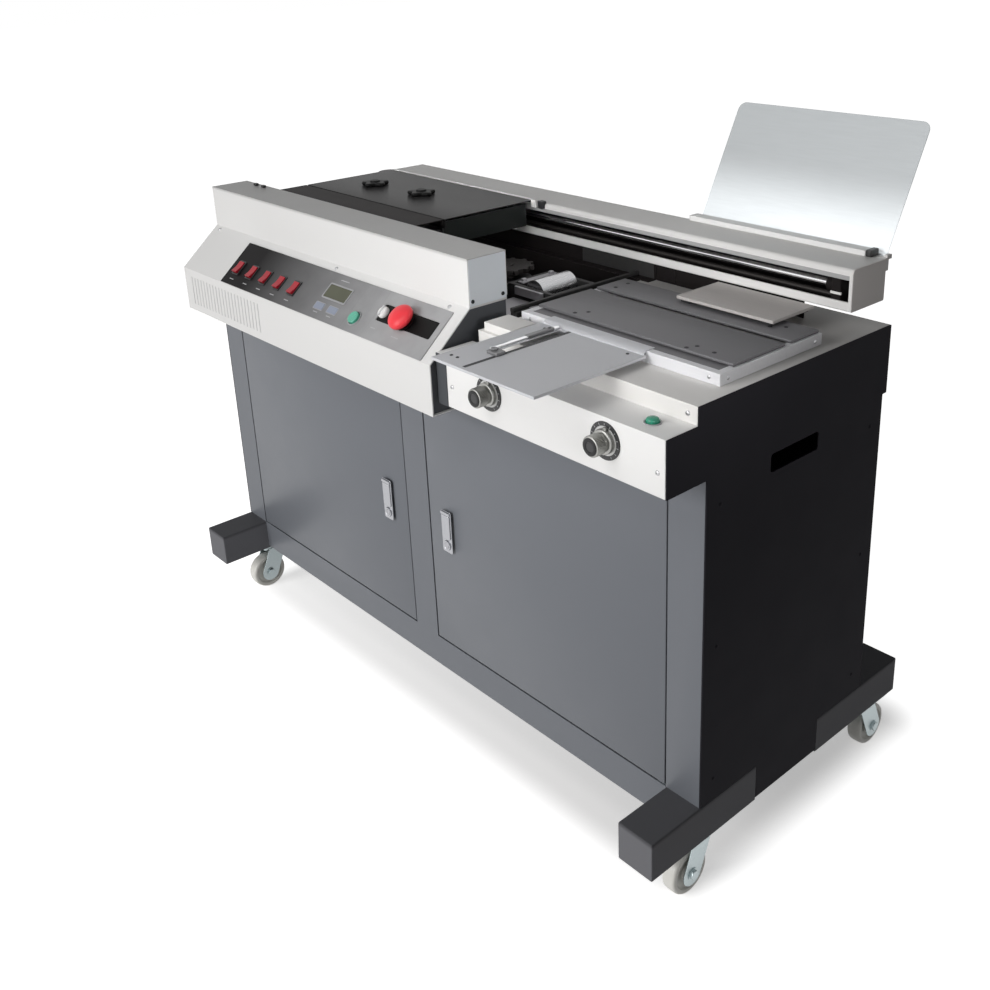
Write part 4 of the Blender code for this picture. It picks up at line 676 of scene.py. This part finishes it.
overlay = bpy.data.materials.new("printed_overlay")
overlay.use_nodes = True
tree = overlay.node_tree
shader = tree.nodes["Principled BSDF"]
shader.inputs["Specular IOR Level"].default_value = 0.06
spot = added(tree, "ShaderNodeTexCoord")
apart = added(tree, "ShaderNodeSeparateXYZ", {0: spot.outputs["Object"]})
fade = added(tree, "ShaderNodeMapRange", {"Value": apart.outputs["X"], "From Min": -0.38, "From Max": 0.04})
ramp = added(tree, "ShaderNodeValToRGB", {"Fac": fade.outputs["Result"]})
ramp.color_ramp.elements[0].color = (0.007, 0.006, 0.0065, 1)
ramp.color_ramp.elements[1].color = (0.370, 0.370, 0.376, 1)
film = added(tree, "ShaderNodeGroup", node_tree=moulded)
tree.links.new(spot.outputs["Object"], film.inputs["Coordinates"])
tree.links.new(ramp.outputs["Color"], film.inputs["Colour"])
film.inputs["Roughness"].default_value = 0.36
tree.links.new(film.outputs["Colour"], shader.inputs["Base Color"])
tree.links.new(film.outputs["Roughness"], shader.inputs["Roughness"])
tree.links.new(film.outputs["Normal"], shader.inputs["Normal"])

recess_ends, recess_ups = (0.012, 0.151), (0.036, 0.068)


def board(outer, inner, low, high):
    """A flat frame: the outer outline's ring and the inner one's, each at the lower and the upper face,
    joined round in a closed section."""
    return joined([np.column_stack((ring, np.full(len(ring), height)))
                   for ring, height in ((inner, low), (outer, low), (outer, high - 0.0003),
                                        (drawn_in(outer, 0.0003), high), (drawn_in(inner, -0.0003), high),
                                        (inner, high - 0.0003))], True)


def between(ends, ups, corner, steps=6):
    """A round-cornered rectangle between two places across and two up."""
    return rounded((ends[1] - ends[0]) / 2, (ups[1] - ups[0]) / 2, corner, steps) \
        + ((ends[0] + ends[1]) / 2, (ups[0] + ups[1]) / 2)


split = recess_ends[0] - 0.008
left_part = between((panel_ends[0], split), panel_ups, 0.0004)
right_outer = between((split, panel_ends[1]), panel_ups, 0.0020)
right_inner = between(recess_ends, recess_ups, 0.0030)
start_place, stop_place = (-0.0350, 0.026), (0.0797, 0.050)
start_hole = between((start_place[0] - 0.0116, start_place[0] + 0.0116),
                     (start_place[1] - 0.0116, start_place[1] + 0.0116), 0.0115, 8)
start_ring = between((start_place[0] - 0.0200, start_place[0] + 0.0200), panel_ups, 0.0004, 8)
spans = [(panel_ends[0], start_place[0] - 0.0200), (start_place[0] + 0.0200, split)]
strips = [on_slope(slab(between(span, panel_ups, 0.0006), 0.0003, panel_top, 0.0003), 0, 0, 0) for span in spans]
strips.append(on_slope(board(start_ring, start_hole, 0.0003, panel_top), 0, 0, 0))
strips.append(on_slope(board(right_outer, right_inner, 0.0003, panel_top), 0, 0, 0))
piece("overlay", strips, overlay, replaced=["control_panel"])
recess = [on_slope(board(between((recess_ends[0] + 0.0004, recess_ends[1] - 0.0004),
                                 (recess_ups[0] + 0.0004, recess_ups[1] - 0.0004), 0.0030, 8),
                         between((stop_place[0] - 0.0100, stop_place[0] + 0.0100),
                                 (stop_place[1] - 0.0100, stop_place[1] + 0.0100), 0.0099, 8),
                         0.0001, 0.0008), 0, 0, 0)]
recess.append(on_slope(annulus(0.0165, 0.0102, 0.0008, 0.0030, 40), stop_place[0], stop_place[1], 0))
piece("stop_recess", recess, recess_black)

share = np.linspace(0.045, 0.354, 5)
rocker_half = 0.0118
top_line = np.linspace(rocker_half, -rocker_half, 15)
rocker_top = 0.0042 + 0.0026 * np.clip(-top_line / rocker_half, 0, 1) ** 1.2 - 0.0004 * np.sin(
    np.pi * np.clip(top_line / rocker_half, 0, 1))
rocker_side = np.vstack(([(-rocker_half, 0.0016), (0, 0.0004), (rocker_half, 0.0016)],
                         np.stack((top_line, rocker_top), -1)))
bezels, marks = [], []
for number, across in enumerate(-0.451 + 0.620 * share, 1):
    name = "rocker_%d" % number
    piece("rocker_cap_%d" % number, [on_slope(slab(rocker_side, -0.0078, 0.0078, 0.0005), across, 0.037, 0.0020,
                                              rocker_axes)], red_plastic, name, [name])
    bezels.append(on_slope(board(rounded(0.0106, 0.0148, 0.0022), rounded(0.0083, 0.0124, 0.0010), 0, 0.0022),
                           across, 0.037))
    piece("rocker_mark_%d" % number, [on_slope(slab(rounded(0.0006, 0.0024, 0.0003, 3) + (0, -0.0060), 0.0040, 0.0044,
                                                    0.0001), across, 0.037, 0.0020)], print_light, name)
    marks.append(on_slope(block((-0.0065, 0.0065), (-0.0008, 0.0008), (-0.0001, 0.0002), 0.0001), across, 0.0125))
for across, up, half in ((-0.138, 0.0125, 0.006), (-0.099, 0.0125, 0.006), (-0.118, 0.0800, 0.012),
                         (0.020, 0.0220, 0.006), (0.080, 0.0200, 0.009)):
    marks.append(on_slope(block((-half, half), (-0.0007, 0.0007), (-0.0001, 0.0002), 0.0001), across, up))
piece("rocker_bezels", bezels, black_plastic)
piece("overlay_marks", marks, print_light)
display_middle, display_up = -0.11496, 0.0555
piece("display_frame", [on_slope(board(rounded(0.0342, 0.0150, 0.0026), rounded(0.0315, 0.0125, 0.0015), -0.0003,
                                       0.0012), display_middle, display_up)], grey_plastic)
glass = finish("display_glass", moulded, (0.080, 0.084, 0.050), 0.20, specular=0.3, Texture=0.00001)
piece("display_glass", [on_slope(slab(rounded(0.0313, 0.0123, 0.0014), -0.0002, 0.0007, 0.0003), display_middle,
                                 display_up)], glass)
for name, across, up in (("left_key", -0.138, 0.0245), ("right_key", -0.099, 0.0250)):
    piece(name + "_surround", [on_slope(board(rounded(0.0140, 0.0075, 0.0020), rounded(0.0128, 0.0063, 0.0014),
                                              -0.0002, 0.0004), across, up)], grey_plastic)
    piece(name, [on_slope(slab(rounded(0.0126, 0.0061, 0.0016), -0.0002, 0.0009, 0.0005), across, up)],
          key_blue)
piece("start_ring", [on_slope(annulus(0.0135, 0.0117, -0.0002, 0.0014), *start_place)], grey_plastic)
piece("start_cap", [on_slope(turned([(0.0106, -0.0080), (0.0107, 0.0046), (0.0098, 0.0056), (0.0070, 0.0058),
                                     (0.0030, 0.0055)]), *start_place)], mint, "start_button",
      ["start_button"])
dome = np.radians(np.linspace(0, 82, 9))
stop_profile = [(0.0088, -0.0100), (0.0088, 0.0082), (0.0120, 0.0082), (0.0200, 0.0088), (0.0218, 0.0102)]
stop_profile += list(zip(0.0222 * np.cos(dome), 0.0132 + 0.0112 * np.sin(dome)))
piece("mushroom_button", [on_slope(turned(stop_profile, 48), *stop_place)], mushroom_red,
      "emergency_stop", ["emergency_stop"])
piece("turn_knob", [on_slope(turned([(0.0098, 0.0004), (0.0102, 0.0030), (0.0094, 0.0062), (0.0070, 0.0080),
                                     (0.0034, 0.0086)], 36), 0.0205, 0.0520, 0)], white)
piece("turn_knob_bar", [on_slope(slab(rounded(0.0016, 0.0088, 0.0014), 0.0060, 0.0105, 0.0010), 0.0205, 0.0520, 0)],
      pale_plastic)
heads = [on_slope(screw(), across, 0.0975, 0) for across in (-0.578, -0.166, 0.145)]
piece("console_screws", heads, screw_steel)
dark_screw = finish("black_screw", metal_grain, (0.035, 0.035, 0.038), 0.36, 1, Stretch=(5, 5, 5))
piece("box_end_screws", [stood(screw(0.0032), (x, y, 0.8240), way) for x, way in ((0.1866, "right"), (-0.6006, "left"))
                         for y in (-0.0035, 0.0550)], dark_screw)
piece("cover_clips", [stood(slab(rounded(0.0045, 0.0035, 0.0015), 0.8900, 0.8950, 0.0010), (x, 0.0520, 0))
                      for x in (-0.541, -0.513)], black_plastic)

# Table
# A white painted cover sheet with a rest block, and on it the nipping table: an aluminium frame screwed at its
# corners, two blackened steel plates with a gap for the spine between them, and the raised cover support.
table_white_rear_shaded = finish("table_paint_rear_shaded", paint_film, (0.80, 0.785, 0.765), 0.42, specular=0.1, Clouding=0.02)
# Painted shade: the table sheet's colour darkens from the front to 0.60 towards the rear, where the beam and the plates
# shade it.
faded(table_white_rear_shaded, "Y", -0.14, 0.08, 1.0, 0.60)
frame_metal = finish("frame_aluminium", metal_grain, (0.74, 0.74, 0.76), 0.50, 0.1, 0.1, Stretch=(0.3, 3, 3),
                     Contrast=0.06)
nip_metal = finish("blackened_plate", metal_grain, (0.140, 0.138, 0.145), 0.48, 0.25, 0.25, Stretch=(0.4, 4, 4),
                   Contrast=0.10)
support_metal = finish("support_sheet", metal_grain, (0.50, 0.475, 0.46), 0.45, 0.25, 0.2, Stretch=(0.5, 4, 4))
rounded_copy("table_sheet", table_white_rear_shaded, 0.0016, 0.0005, source="table_cover")
rounded_copy("nip_table_frame", frame_metal, 0.0008, 0.0006, source="table_frame")
rounded_copy("rear_nip", nip_metal, 0.0006, 0.0005, source="rear_nip_plate")
rounded_copy("front_nip", nip_metal, 0.0006, 0.0005, "front_nip_plate", "front_nip_plate")
rounded_copy("raised_support", support_metal, 0.0012, 0.0005, source="cover_support", low_rim=0.8162)
nip_top, frame_high = 0.8116, 0.8073
piece("support_brackets", [stood(block((x, x + 0.018), (y, y + 0.016), (nip_top + 0.0001, 0.8184), 0.0008))
                           for x in (0.386, 0.536) for y in (0.2350, 0.3080)], black_plastic)
piece("front_nip_screws", [stood(screw(0.0034, 0.0010, 0.0008), (x, y, nip_top))
                           for x, y in ((0.308, 0.090), (0.320, 0.106), (0.526, 0.088), (0.533, 0.102), (0.566, 0.098))],
      dark_screw, "front_nip_plate")
piece("rear_nip_screws", [stood(screw(0.0034, 0.0010, 0.0008), (x, y, nip_top))
                          for x, y in ((0.554, 0.233), (0.572, 0.246), (0.262, 0.222), (0.262, 0.250))],
      dark_screw)
low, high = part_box("front_nip_plate")
piece("nip_ledge", [stood(block((low.x + 0.008, high.x - 0.008), (0.0622, 0.0880), (0.7960, 0.8068), 0.0008))],
      nip_metal)
piece("nip_drive_bar", [stood(block((0.250, 0.600), (0.1935, 0.2020), (0.7960, 0.8062), 0.0010))],
      frame_metal)
piece("frame_screws", [stood(screw(0.0028, 0.0010, 0.0008), (x, 0.0500, 0.799), "front") for x in (0.2535, 0.5977)]
      + [stood(screw(0.0028, 0.0010, 0.0008), (0.6160, y, 0.798), "right") for y in (0.066, 0.254)],
      screw_steel)

# Cover plate
# A shallow aluminium tray beside the nipping table. A chromed rail lies along its left edge over a dark groove,
# and a black gauge with a thumb nut slides in its slot to set the cover's place.
tray_metal = finish("tray_aluminium", paint_film, (0.59, 0.595, 0.62), 0.45, specular=0.2, Clouding=0.01)
rail_chrome = finish("rail_chrome", metal_grain, (0.86, 0.86, 0.87), 0.12, 1, Stretch=(8, 0.5, 8), Contrast=0.04)
groove_dark = finish("groove_dark", paint_film, (0.06, 0.06, 0.063), 0.5, specular=0.1)
tray_top = 0.803
rounded_copy("cover_tray", tray_metal, 0.0010, 0.0004, source="cover_plate", low_rim=tray_top - 0.0040)
piece("tray_posts", [stood(turned([(0.0052, 0.7903), (0.0058, 0.7909), (0.0058, 0.8010), (0.0052, 0.8014)], 20),
                           (x, y, 0)) for x in (0.298, 0.440) for y in (-0.008, 0.034)], black_plastic)
piece("tray_rail", [stood(block((0.3215, 0.3275), (-0.0850, 0.0420), (tray_top - 0.0002, tray_top + 0.0042), 0.0014))],
      rail_chrome)
piece("tray_groove", [stood(block((0.3450, 0.3510), (-0.1500, 0.0420), (tray_top - 0.0005, tray_top + 0.0004), 0.0003))],
      groove_dark)
low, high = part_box("cover_gauge")
gauge_x, gauge_y = (low.x + high.x) / 2, (low.y + high.y) / 2 - leg_front[1]
gauge_grey = finish("gauge_grey", metal_grain, (0.20, 0.20, 0.205), 0.42, 0.5, Stretch=(3, 3, 3))
piece("gauge_block", [stood(slab(rounded(0.0112, 0.0085, 0.0020), tray_top + 0.0005, tray_top + 0.0050, 0.0010),
                            (gauge_x + 0.0036, gauge_y, 0)),
                      stood(block((-0.0050, 0.0050), (-0.0045, 0.0045), (tray_top - 0.0035, tray_top + 0.0030)),
                            (gauge_x, gauge_y, 0)),
                      stood(knurled(0.0052, tray_top + 0.0046, tray_top + 0.0086, 18, 0.0003), (gauge_x, gauge_y, 0))],
      gauge_grey, "cover_gauge", ["cover_gauge"])
piece("rail_sleeve", [stood(block((0.3198, 0.3286), (-0.0200, 0.0310), (tray_top + 0.0001, tray_top + 0.0052), 0.0012))],
      gauge_grey)
piece("sleeve_screw", [stood(screw(0.0026, 0.0010, 0.0008), (0.3245, 0.0240, tray_top + 0.0051))], dark_screw)
leaf_section = np.array([(0.0426, 0.8031), (0.0488, 0.8075), (0.0650, 0.8075), (0.0650, 0.8085), (0.0484, 0.8085),
                         (0.0426, 0.8043)])
piece("tray_leaf", [stood(joined([np.column_stack((np.full(6, x), leaf_section)) for x in (0.2900, 0.4900)]))],
      tray_metal)
piece("tray_screws", [stood(screw(0.0026, 0.0010, 0.0008), (x, y, tray_top))
                      for x, y in ((0.3000, -0.1330), (0.3130, -0.1330), (0.3100, 0.0280), (0.4700, 0.0330))],
      dark_screw)

# Stations in the bay
# Under the clamp's path lie the cast glue tank with its turned roller and doctor blade, the toothed milling
# cutter on its motor, the suction hood's sheet pieces, and a dark guide bar that crosses the bay.
cast = finish("cast_dark_metal", metal_grain, (0.045, 0.044, 0.044), 0.55, 0.3, 0.15, Stretch=(2, 2, 2), Contrast=0.2)
# A near-black coat for the beam stands and rod blocks, and as painted shade on the bay's and the beam's linings.
black_coat_and_shade = finish("black_coat_and_painted_shade", paint_film, (0.014, 0.012, 0.012), 0.6, specular=0.06, Clouding=0.02)
bright = finish("turned_bright_steel", metal_grain, (0.50, 0.50, 0.51), 0.26, 1, Stretch=(9, 0.6, 9), Contrast=0.08)
sheet_metal = finish("bay_sheet_metal", metal_grain, (0.42, 0.41, 0.43), 0.40, 0.6, 0.3, Stretch=(3, 0.6, 3))
jaw_dark = finish("cutter_dark_steel", metal_grain, (0.034, 0.031, 0.030), 0.45, 0.6, 0.1, Stretch=(4, 4, 4))
motor_coat = finish("motor_coat", paint_film, (0.020, 0.020, 0.022), 0.45, specular=0.35)
rounded_copy("glue_pot", cast, 0.0020, 0.0012, source="glue_tank")
roller_x, roller_y, roller_z = 0.140, 0.198, 0.7905
half_drum = np.array([(0.0048, 0.0520), (0.0050, 0.0385), (0.0195, 0.0382), (0.0214, 0.0374)])
piece("glue_drum", [stood(turned(np.vstack((half_drum, half_drum[::-1] * (1, -1))), 48),
                          (roller_x, roller_y, roller_z), "front")], bright, "glue_roller",
      ["glue_roller"])
piece("doctor_blade", [stood(block((0.1000, 0.1120), (0.1600, 0.2360), (0.8002, 0.8030), 0.0006)),
                       stood(block((0.1020, 0.1080), (0.1640, 0.1720), (0.8020, 0.8070), 0.0008)),
                       stood(block((0.1020, 0.1080), (0.2240, 0.2320), (0.8020, 0.8070), 0.0008))],
      sheet_metal)
cutter_x, cutter_y = 0.030, 0.198
turn = np.arange(96) * 2 * math.pi / 96
tooth = (turn * 12 / (2 * math.pi)) % 1
reach = 0.0388 + 0.0060 * np.clip((0.40 - tooth) / 0.06 + 1, 0, 1) * np.clip(tooth / 0.04, 0, 1)
cutter_ring = np.stack((reach * np.cos(turn), reach * np.sin(turn)), -1)
piece("milling_disc", [stood(slab(cutter_ring, 0.8022, 0.8098, 0.0004), (cutter_x, cutter_y, 0)),
                       stood(turned([(0.0118, 0.7884), (0.0118, 0.8105), (0.0108, 0.8118), (0.0060, 0.8122)], 6),
                             (cutter_x, cutter_y, 0))], jaw_dark, "milling_cutter", ["milling_cutter"])
fins = []
for level in np.arange(0.6900, 0.7800, 0.0075):
    fins += [(0.0405, level), (0.0426, level + 0.0008), (0.0426, level + 0.0040), (0.0405, level + 0.0048)]
piece("milling_motor_case", [stood(turned([(0.0400, 0.6845)] + fins + [(0.0400, 0.7872), (0.0380, 0.7878)], 48),
                                   (cutter_x, cutter_y, 0))], motor_coat, replaced=["milling_motor"])
carriage_motor_low, carriage_motor_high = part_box("carriage_motor")
motor_middle = (carriage_motor_low + carriage_motor_high) / 2
piece("carriage_motor_case", [stood(turned([(0.0240, 0.7905), (0.0258, 0.7920), (0.0258, 0.8080), (0.0240, 0.8090),
                                            (0.0240, 0.8500), (0.0258, 0.8510), (0.0258, 0.8660), (0.0240, 0.8678)], 48),
                                    (motor_middle.x, motor_middle.y - leg_front[1], 0))], motor_coat,
      replaced=["carriage_motor"])
piece("bay_guide_bar", [stood(block((0.1900, 0.1965), (0.0645, 0.3455), (0.7930, 0.7995), 0.0010))], cast)
piece("suction_hood", [stood(block((0.1080, 0.1740), (0.1440, 0.1490), (0.7860, 0.8000), 0.0008)),
                       stood(block((0.1080, 0.1800), (0.0655, 0.1420), (0.7800, 0.7815), 0.0006)),
                       stood(block((-0.0300, 0.0900), (0.0680, 0.0840), (0.7840, 0.7860), 0.0008))],
      sheet_metal)
# Painted shade: near-black sheets on the bay's floor, its walls and the strip before the beam darken them as the shade
# of a deep hollow.
piece("bay_shade_lining", [stood(block((-0.6000, 0.2330), (0.3306, 0.3458), (0.7902, 0.7910), 0.0003)),
                     stood(block((-0.5980, 0.2330), (0.3284, 0.3296), (0.6870, 0.7908), 0.0003)),
                     stood(block((-0.4035, 0.2335), (0.3460, 0.3485), (0.7903, 0.8206), 0.0006)),
                     stood(block((0.2785, 0.5300), (0.3460, 0.3485), (0.7903, 0.8206), 0.0006))], black_coat_and_shade)
piece("rear_guard", [stood(block((0.0600, 0.2300), (0.3446, 0.3457), (0.7925, 0.8195), 0.0004))], cast)
piece("bay_brackets", [stood(block((0.1840, 0.2000), (0.0700, 0.1000), (0.7780, 0.7925), 0.0010))], cast)

# Beam
# A white folded housing along the back, open to the front: its upper lip is rolled over broadly, its lower lip
# is low. Inside run a chromed rod, a thinner one below it and the toothed drive belt, between dark end blocks.
beam_white = finish("beam_paint", paint_film, (0.78, 0.77, 0.755), 0.40, specular=0.12, Clouding=0.012)
lip_shade_grey = finish("lip_painted_shade_grey", paint_film, (0.40, 0.40, 0.40), 0.5, specular=0.1)
cap_paint = finish("beam_cap_paint", paint_film, (0.80, 0.765, 0.745), 0.45, specular=0.15, Clouding=0.02)
rod_chrome = finish("rod_chrome", metal_grain, (0.86, 0.86, 0.87), 0.10, 1, Stretch=(0.5, 8, 8), Contrast=0.03)
belt_rubber = finish("belt_rubber", moulded, (0.018, 0.018, 0.019), 0.6)
beam_ends, beam_depths, beam_levels = (-0.498, 0.619), (0.334, 0.418), (0.821, 0.884)
lip_low, lip_high, beam_sheet, lip_round = 0.835, 0.868, 0.003, 0.0060


def quarter(centre_y, centre_z, radius, start, steps=8):
    """Points of a quarter round: the centre plus the radius times (cos t, sin t) for a quarter turn from
    its start, anticlockwise as seen from the machine's right."""
    turn = math.radians(start) + np.linspace(0, math.pi / 2, steps)
    return np.stack((centre_y + radius * np.cos(turn), centre_z + radius * np.sin(turn)), -1)


front, back = beam_depths
low, high = beam_levels
outer_line = np.vstack(([(front, lip_high)], quarter(front + lip_round, high - lip_round, lip_round, 90)[::-1],
                        quarter(back - 0.003, high - 0.003, 0.003, 0)[::-1],
                        quarter(back - 0.003, low + 0.003, 0.003, 270)[::-1],
                        quarter(front + 0.003, low + 0.003, 0.003, 180)[::-1], [(front, lip_low)]))
inner = beam_sheet
inner_line = np.vstack(([(front + inner, lip_low)], quarter(front + 0.0045, low + 0.0045, 0.0015, 180),
                        quarter(back - 0.0045, low + 0.0045, 0.0015, 270),
                        quarter(back - 0.0045, high - 0.0045, 0.0015, 0),
                        quarter(front + lip_round, high - lip_round, lip_round - inner, 90),
                        [(front + inner, lip_high)]))
section = np.vstack((outer_line, inner_line))


def carried(section, ends):
    """A section of depths and heights carried straight across between two ends."""
    return joined([np.column_stack((np.full(len(section), across), section)) for across in ends])


def end_rim(across, reach):
    """A closed cap's outline rings: the beam's outer section as a full plate with a rounded face."""
    ring = np.vstack((quarter(front + lip_round, high - lip_round, lip_round, 90)[::-1],
                      quarter(back - 0.003, high - 0.003, 0.003, 0)[::-1],
                      quarter(back - 0.003, low + 0.003, 0.003, 270)[::-1],
                      quarter(front + 0.003, low + 0.003, 0.003, 180)[::-1]))[::-1]
    levels, insets = rim(0, abs(reach), 0.0008)
    return joined([np.column_stack((np.full(len(ring), across + math.copysign(level, reach)),
                                    drawn_in(ring, inset))) for level, inset in zip(levels, insets)])


piece("beam_shell", [stood(carried(section, (beam_ends[0] + 0.0030, beam_ends[1] - 0.0030)))], beam_white,
      replaced=["beam_housing"], sharp=40)
piece("beam_caps", [stood(end_rim(beam_ends[0] + 0.0032, -0.0032)), stood(end_rim(beam_ends[1] - 0.0032, 0.0032))],
      cap_paint)
# Painted shade: a grey strip over the face of the upper lip, darker than the beam's paint, stands in for the shade
# under the rolled lip.
piece("lip_shade_strip", [stood(block((beam_ends[0] + 0.0060, beam_ends[1] - 0.0060), (front - 0.0004, front + 0.0008),
                               (lip_high - 0.0004, lip_high + 0.0060), 0.0003))], lip_shade_grey)
piece("cap_front_rim", [stood(block((beam_ends[1] - 0.0060, beam_ends[1] - 0.0004), (front - 0.0004, front + 0.0030),
                                    (low + 0.0008, high - 0.0060), 0.0006)),
                        stood(block((beam_ends[0] + 0.0004, beam_ends[0] + 0.0060), (front - 0.0004, front + 0.0030),
                                    (low + 0.0008, high - 0.0060), 0.0006))], beam_white)
lid_ends = (-0.490, -0.055)
piece("lid_hinge_lugs", [stood(block(span, (0.3270, 0.3385), (0.8740, top), 0.0016))
                         for span, top in (((lid_ends[0] - 0.0075, lid_ends[0] - 0.0005), 0.8850),
                                           ((lid_ends[1] + 0.0005, lid_ends[1] + 0.0130), 0.8885))],
      beam_white)
piece("lid_rear_bead", [stood(block((lid_ends[0] + 0.0010, lid_ends[1] - 0.0010), (0.3362, 0.3402), (0.8836, 0.8870),
                                    0.0012))], white)
piece("lid_catch", [stood(block((lid_ends[1] + 0.0190, lid_ends[1] + 0.0310), (0.3270, 0.3385), (0.8740, 0.8880),
                                0.0016))], motor_coat)
rod_depth = 0.360
for name, height, radius, metal in (("upper_rod", 0.850, 0.0060, rod_chrome), ("lower_rod", 0.8335, 0.0045, jaw_dark)):
    piece(name, [stood(turned([(radius - 0.0006, -0.5545), (radius, -0.5535), (radius, 0.5535),
                               (radius - 0.0006, 0.5545)]), (0.0605, rod_depth, height), "right")], metal,
          replaced=["guide_rods"])
# Painted shade: near-black sheets on the beam's inner back wall and floor darken the slot behind the rods.
piece("beam_shade_lining", [stood(block((-0.4940, 0.6150), (0.4125, 0.4146), (0.8245, 0.8805), 0.0006)),
                      stood(block((-0.4940, 0.6150), (0.3395, 0.4120), (0.8242, 0.8252), 0.0003))], black_coat_and_shade)
blocks = []
for across in (-0.4682, 0.5892):
    blocks.append(stood(block((across - 0.008, across + 0.008), (0.3374, 0.3830), (0.8245, 0.8720), 0.0016)))
    inward = "right" if across < 0 else "left"
    blocks.append(stood(turned([(0.0120, 0.0070), (0.0128, 0.0080), (0.0128, 0.0225), (0.0112, 0.0250)], 28),
                        (across, rod_depth, 0.850), inward))
piece("rod_blocks", blocks, black_coat_and_shade)
piece("rod_block_stops", [stood(block((0.5800, 0.5985), (0.3366, 0.3400), (0.8425, 0.8465), 0.0008)),
                          stood(block((-0.4770, -0.4590), (0.3366, 0.3400), (0.8425, 0.8465), 0.0008))],
      beam_white)
piece("drive_belt", [stood(block((-0.4850, 0.6060), (0.3990, 0.4090), (0.8420, 0.8445), 0.0006)),
                     stood(block((-0.4850, 0.6060), (0.3990, 0.4090), (0.8590, 0.8615), 0.0006))]
      + [stood(turned([(0.0078, -0.0060), (0.0092, -0.0054), (0.0078, -0.0046), (0.0078, 0.0046), (0.0092, 0.0054),
                       (0.0078, 0.0060)], 24), (x, 0.4040, 0.8517), "front") for x in (-0.4800, 0.6030)],
      belt_rubber)
for side, across in (("left", -0.440), ("right", 0.256)):
    piece(side + "_beam_stand", [stood(block((across - 0.022, across + 0.022), (0.3458, 0.4176), (0.7904, 0.8206),
                                             0.0016))], black_coat_and_shade,
          replaced=[side + "_beam_bracket"])

# Clamp
# The carriage runs on the rods: its slide block, two arms, the fixed rear jaw and the dark face that closes its
# right end. The front jaw closes on two pins; both jaws are steel with rubbed grips facing the book.
jaw_metal = finish("jaw_steel", metal_grain, (0.16, 0.16, 0.165), 0.42, 0.8, Stretch=(0.5, 4, 4), Contrast=0.14)
face_dark = finish("end_face_coat", paint_film, (0.012, 0.015, 0.014), 0.34, specular=0.4)
rounded_copy("carriage", jaw_metal, 0.0012, 0.0006, "clamp_carriage", "clamp_carriage")
rounded_copy("front_jaw", jaw_metal, 0.0016, 0.0006, "clamp_jaw", "clamp_jaw")
piece("end_face", [stood(slab(rounded(0.0930, 0.0198, 0.0020), 0, 0.0006, 0.0002), (-0.0666, 0.2320, 0.8580), "right")],
      face_dark, "clamp_carriage")

# Clamp cover
# A smoked glossy lid, hinged along the beam, with a down-turned front edge and two low lobed hand screws that
# hold it to the clamp. A dark folded strip closes the gap to the console.
smoke = finish("smoked_gloss_plastic", moulded, (0.038, 0.037, 0.037), 0.32, specular=0.018, Texture=0.00001)
strip_coat = finish("strip_coat", paint_film, (0.026, 0.023, 0.023), 0.42, specular=0.012, Clouding=0.02)
rounded_copy("smoked_lid", smoke, 0.0012, 0.0005, "clamp_cover", "clamp_cover", 0.004)
lobes = np.arange(60) * 2 * math.pi / 60
star = (0.0225 + 0.0042 * np.cos(5 * lobes))[:, None] * np.stack((np.cos(lobes), np.sin(lobes)), -1)
piece("lid_hand_screws", [stood(shape, (x, y, 0.8860)) for x, y in ((-0.385, 0.220), (-0.247, 0.228))
                          for shape in (slab(star, 0.0000, 0.0070, 0.0026, 4),
                                        turned([(0.0100, 0.0060), (0.0094, 0.0092), (0.0066, 0.0100)], 28))],
      recess_black, "clamp_cover")
piece("lid_front_seal", [stood(block((-0.4890, -0.0560), (0.1337, 0.1344), (0.8700, 0.8850), 0.0002))],
      recess_black, "clamp_cover")
rounded_copy("dark_strip", strip_coat, 0.0012, 0.0005, source="clamp_surround", wide=0.004)

# Back plate
# A brushed aluminium sheet with rounded upper corners, bent round its barrel and leaning back on a white hinge rail
# with a black end cap at its right end.
back_metal_painted_sheen = finish("brushed_back_plate_painted_sheen", metal_grain, (0.455, 0.475, 0.485), 0.42, 0.7, Stretch=(0.4, 5, 5),
                    Contrast=0.05)
# Painted sheen: the plate's colour is brightened up to 1.9 times towards its lower edge, standing in for a reflection
# of the pale floor.
faded(back_metal_painted_sheen, "Z", 0.895, 0.995, 1.9, 1.0)
rounded_copy("leaning_plate", back_metal_painted_sheen, 0.0006, 0.0004, "back_plate", "back_plate")
rounded_copy("hinge_rail", beam_white, 0.0012, 0.0005, source="back_hinge")
piece("plate_rest_rail", [stood(block((0.2520, 0.5900), (0.4060, 0.4272), (0.8842, 0.8930), 0.0012))], white)
piece("rail_end_cap", [stood(block((0.5902, 0.6000), (0.4058, 0.4274), (0.8842, 0.8946), 0.0016))],
      black_plastic)
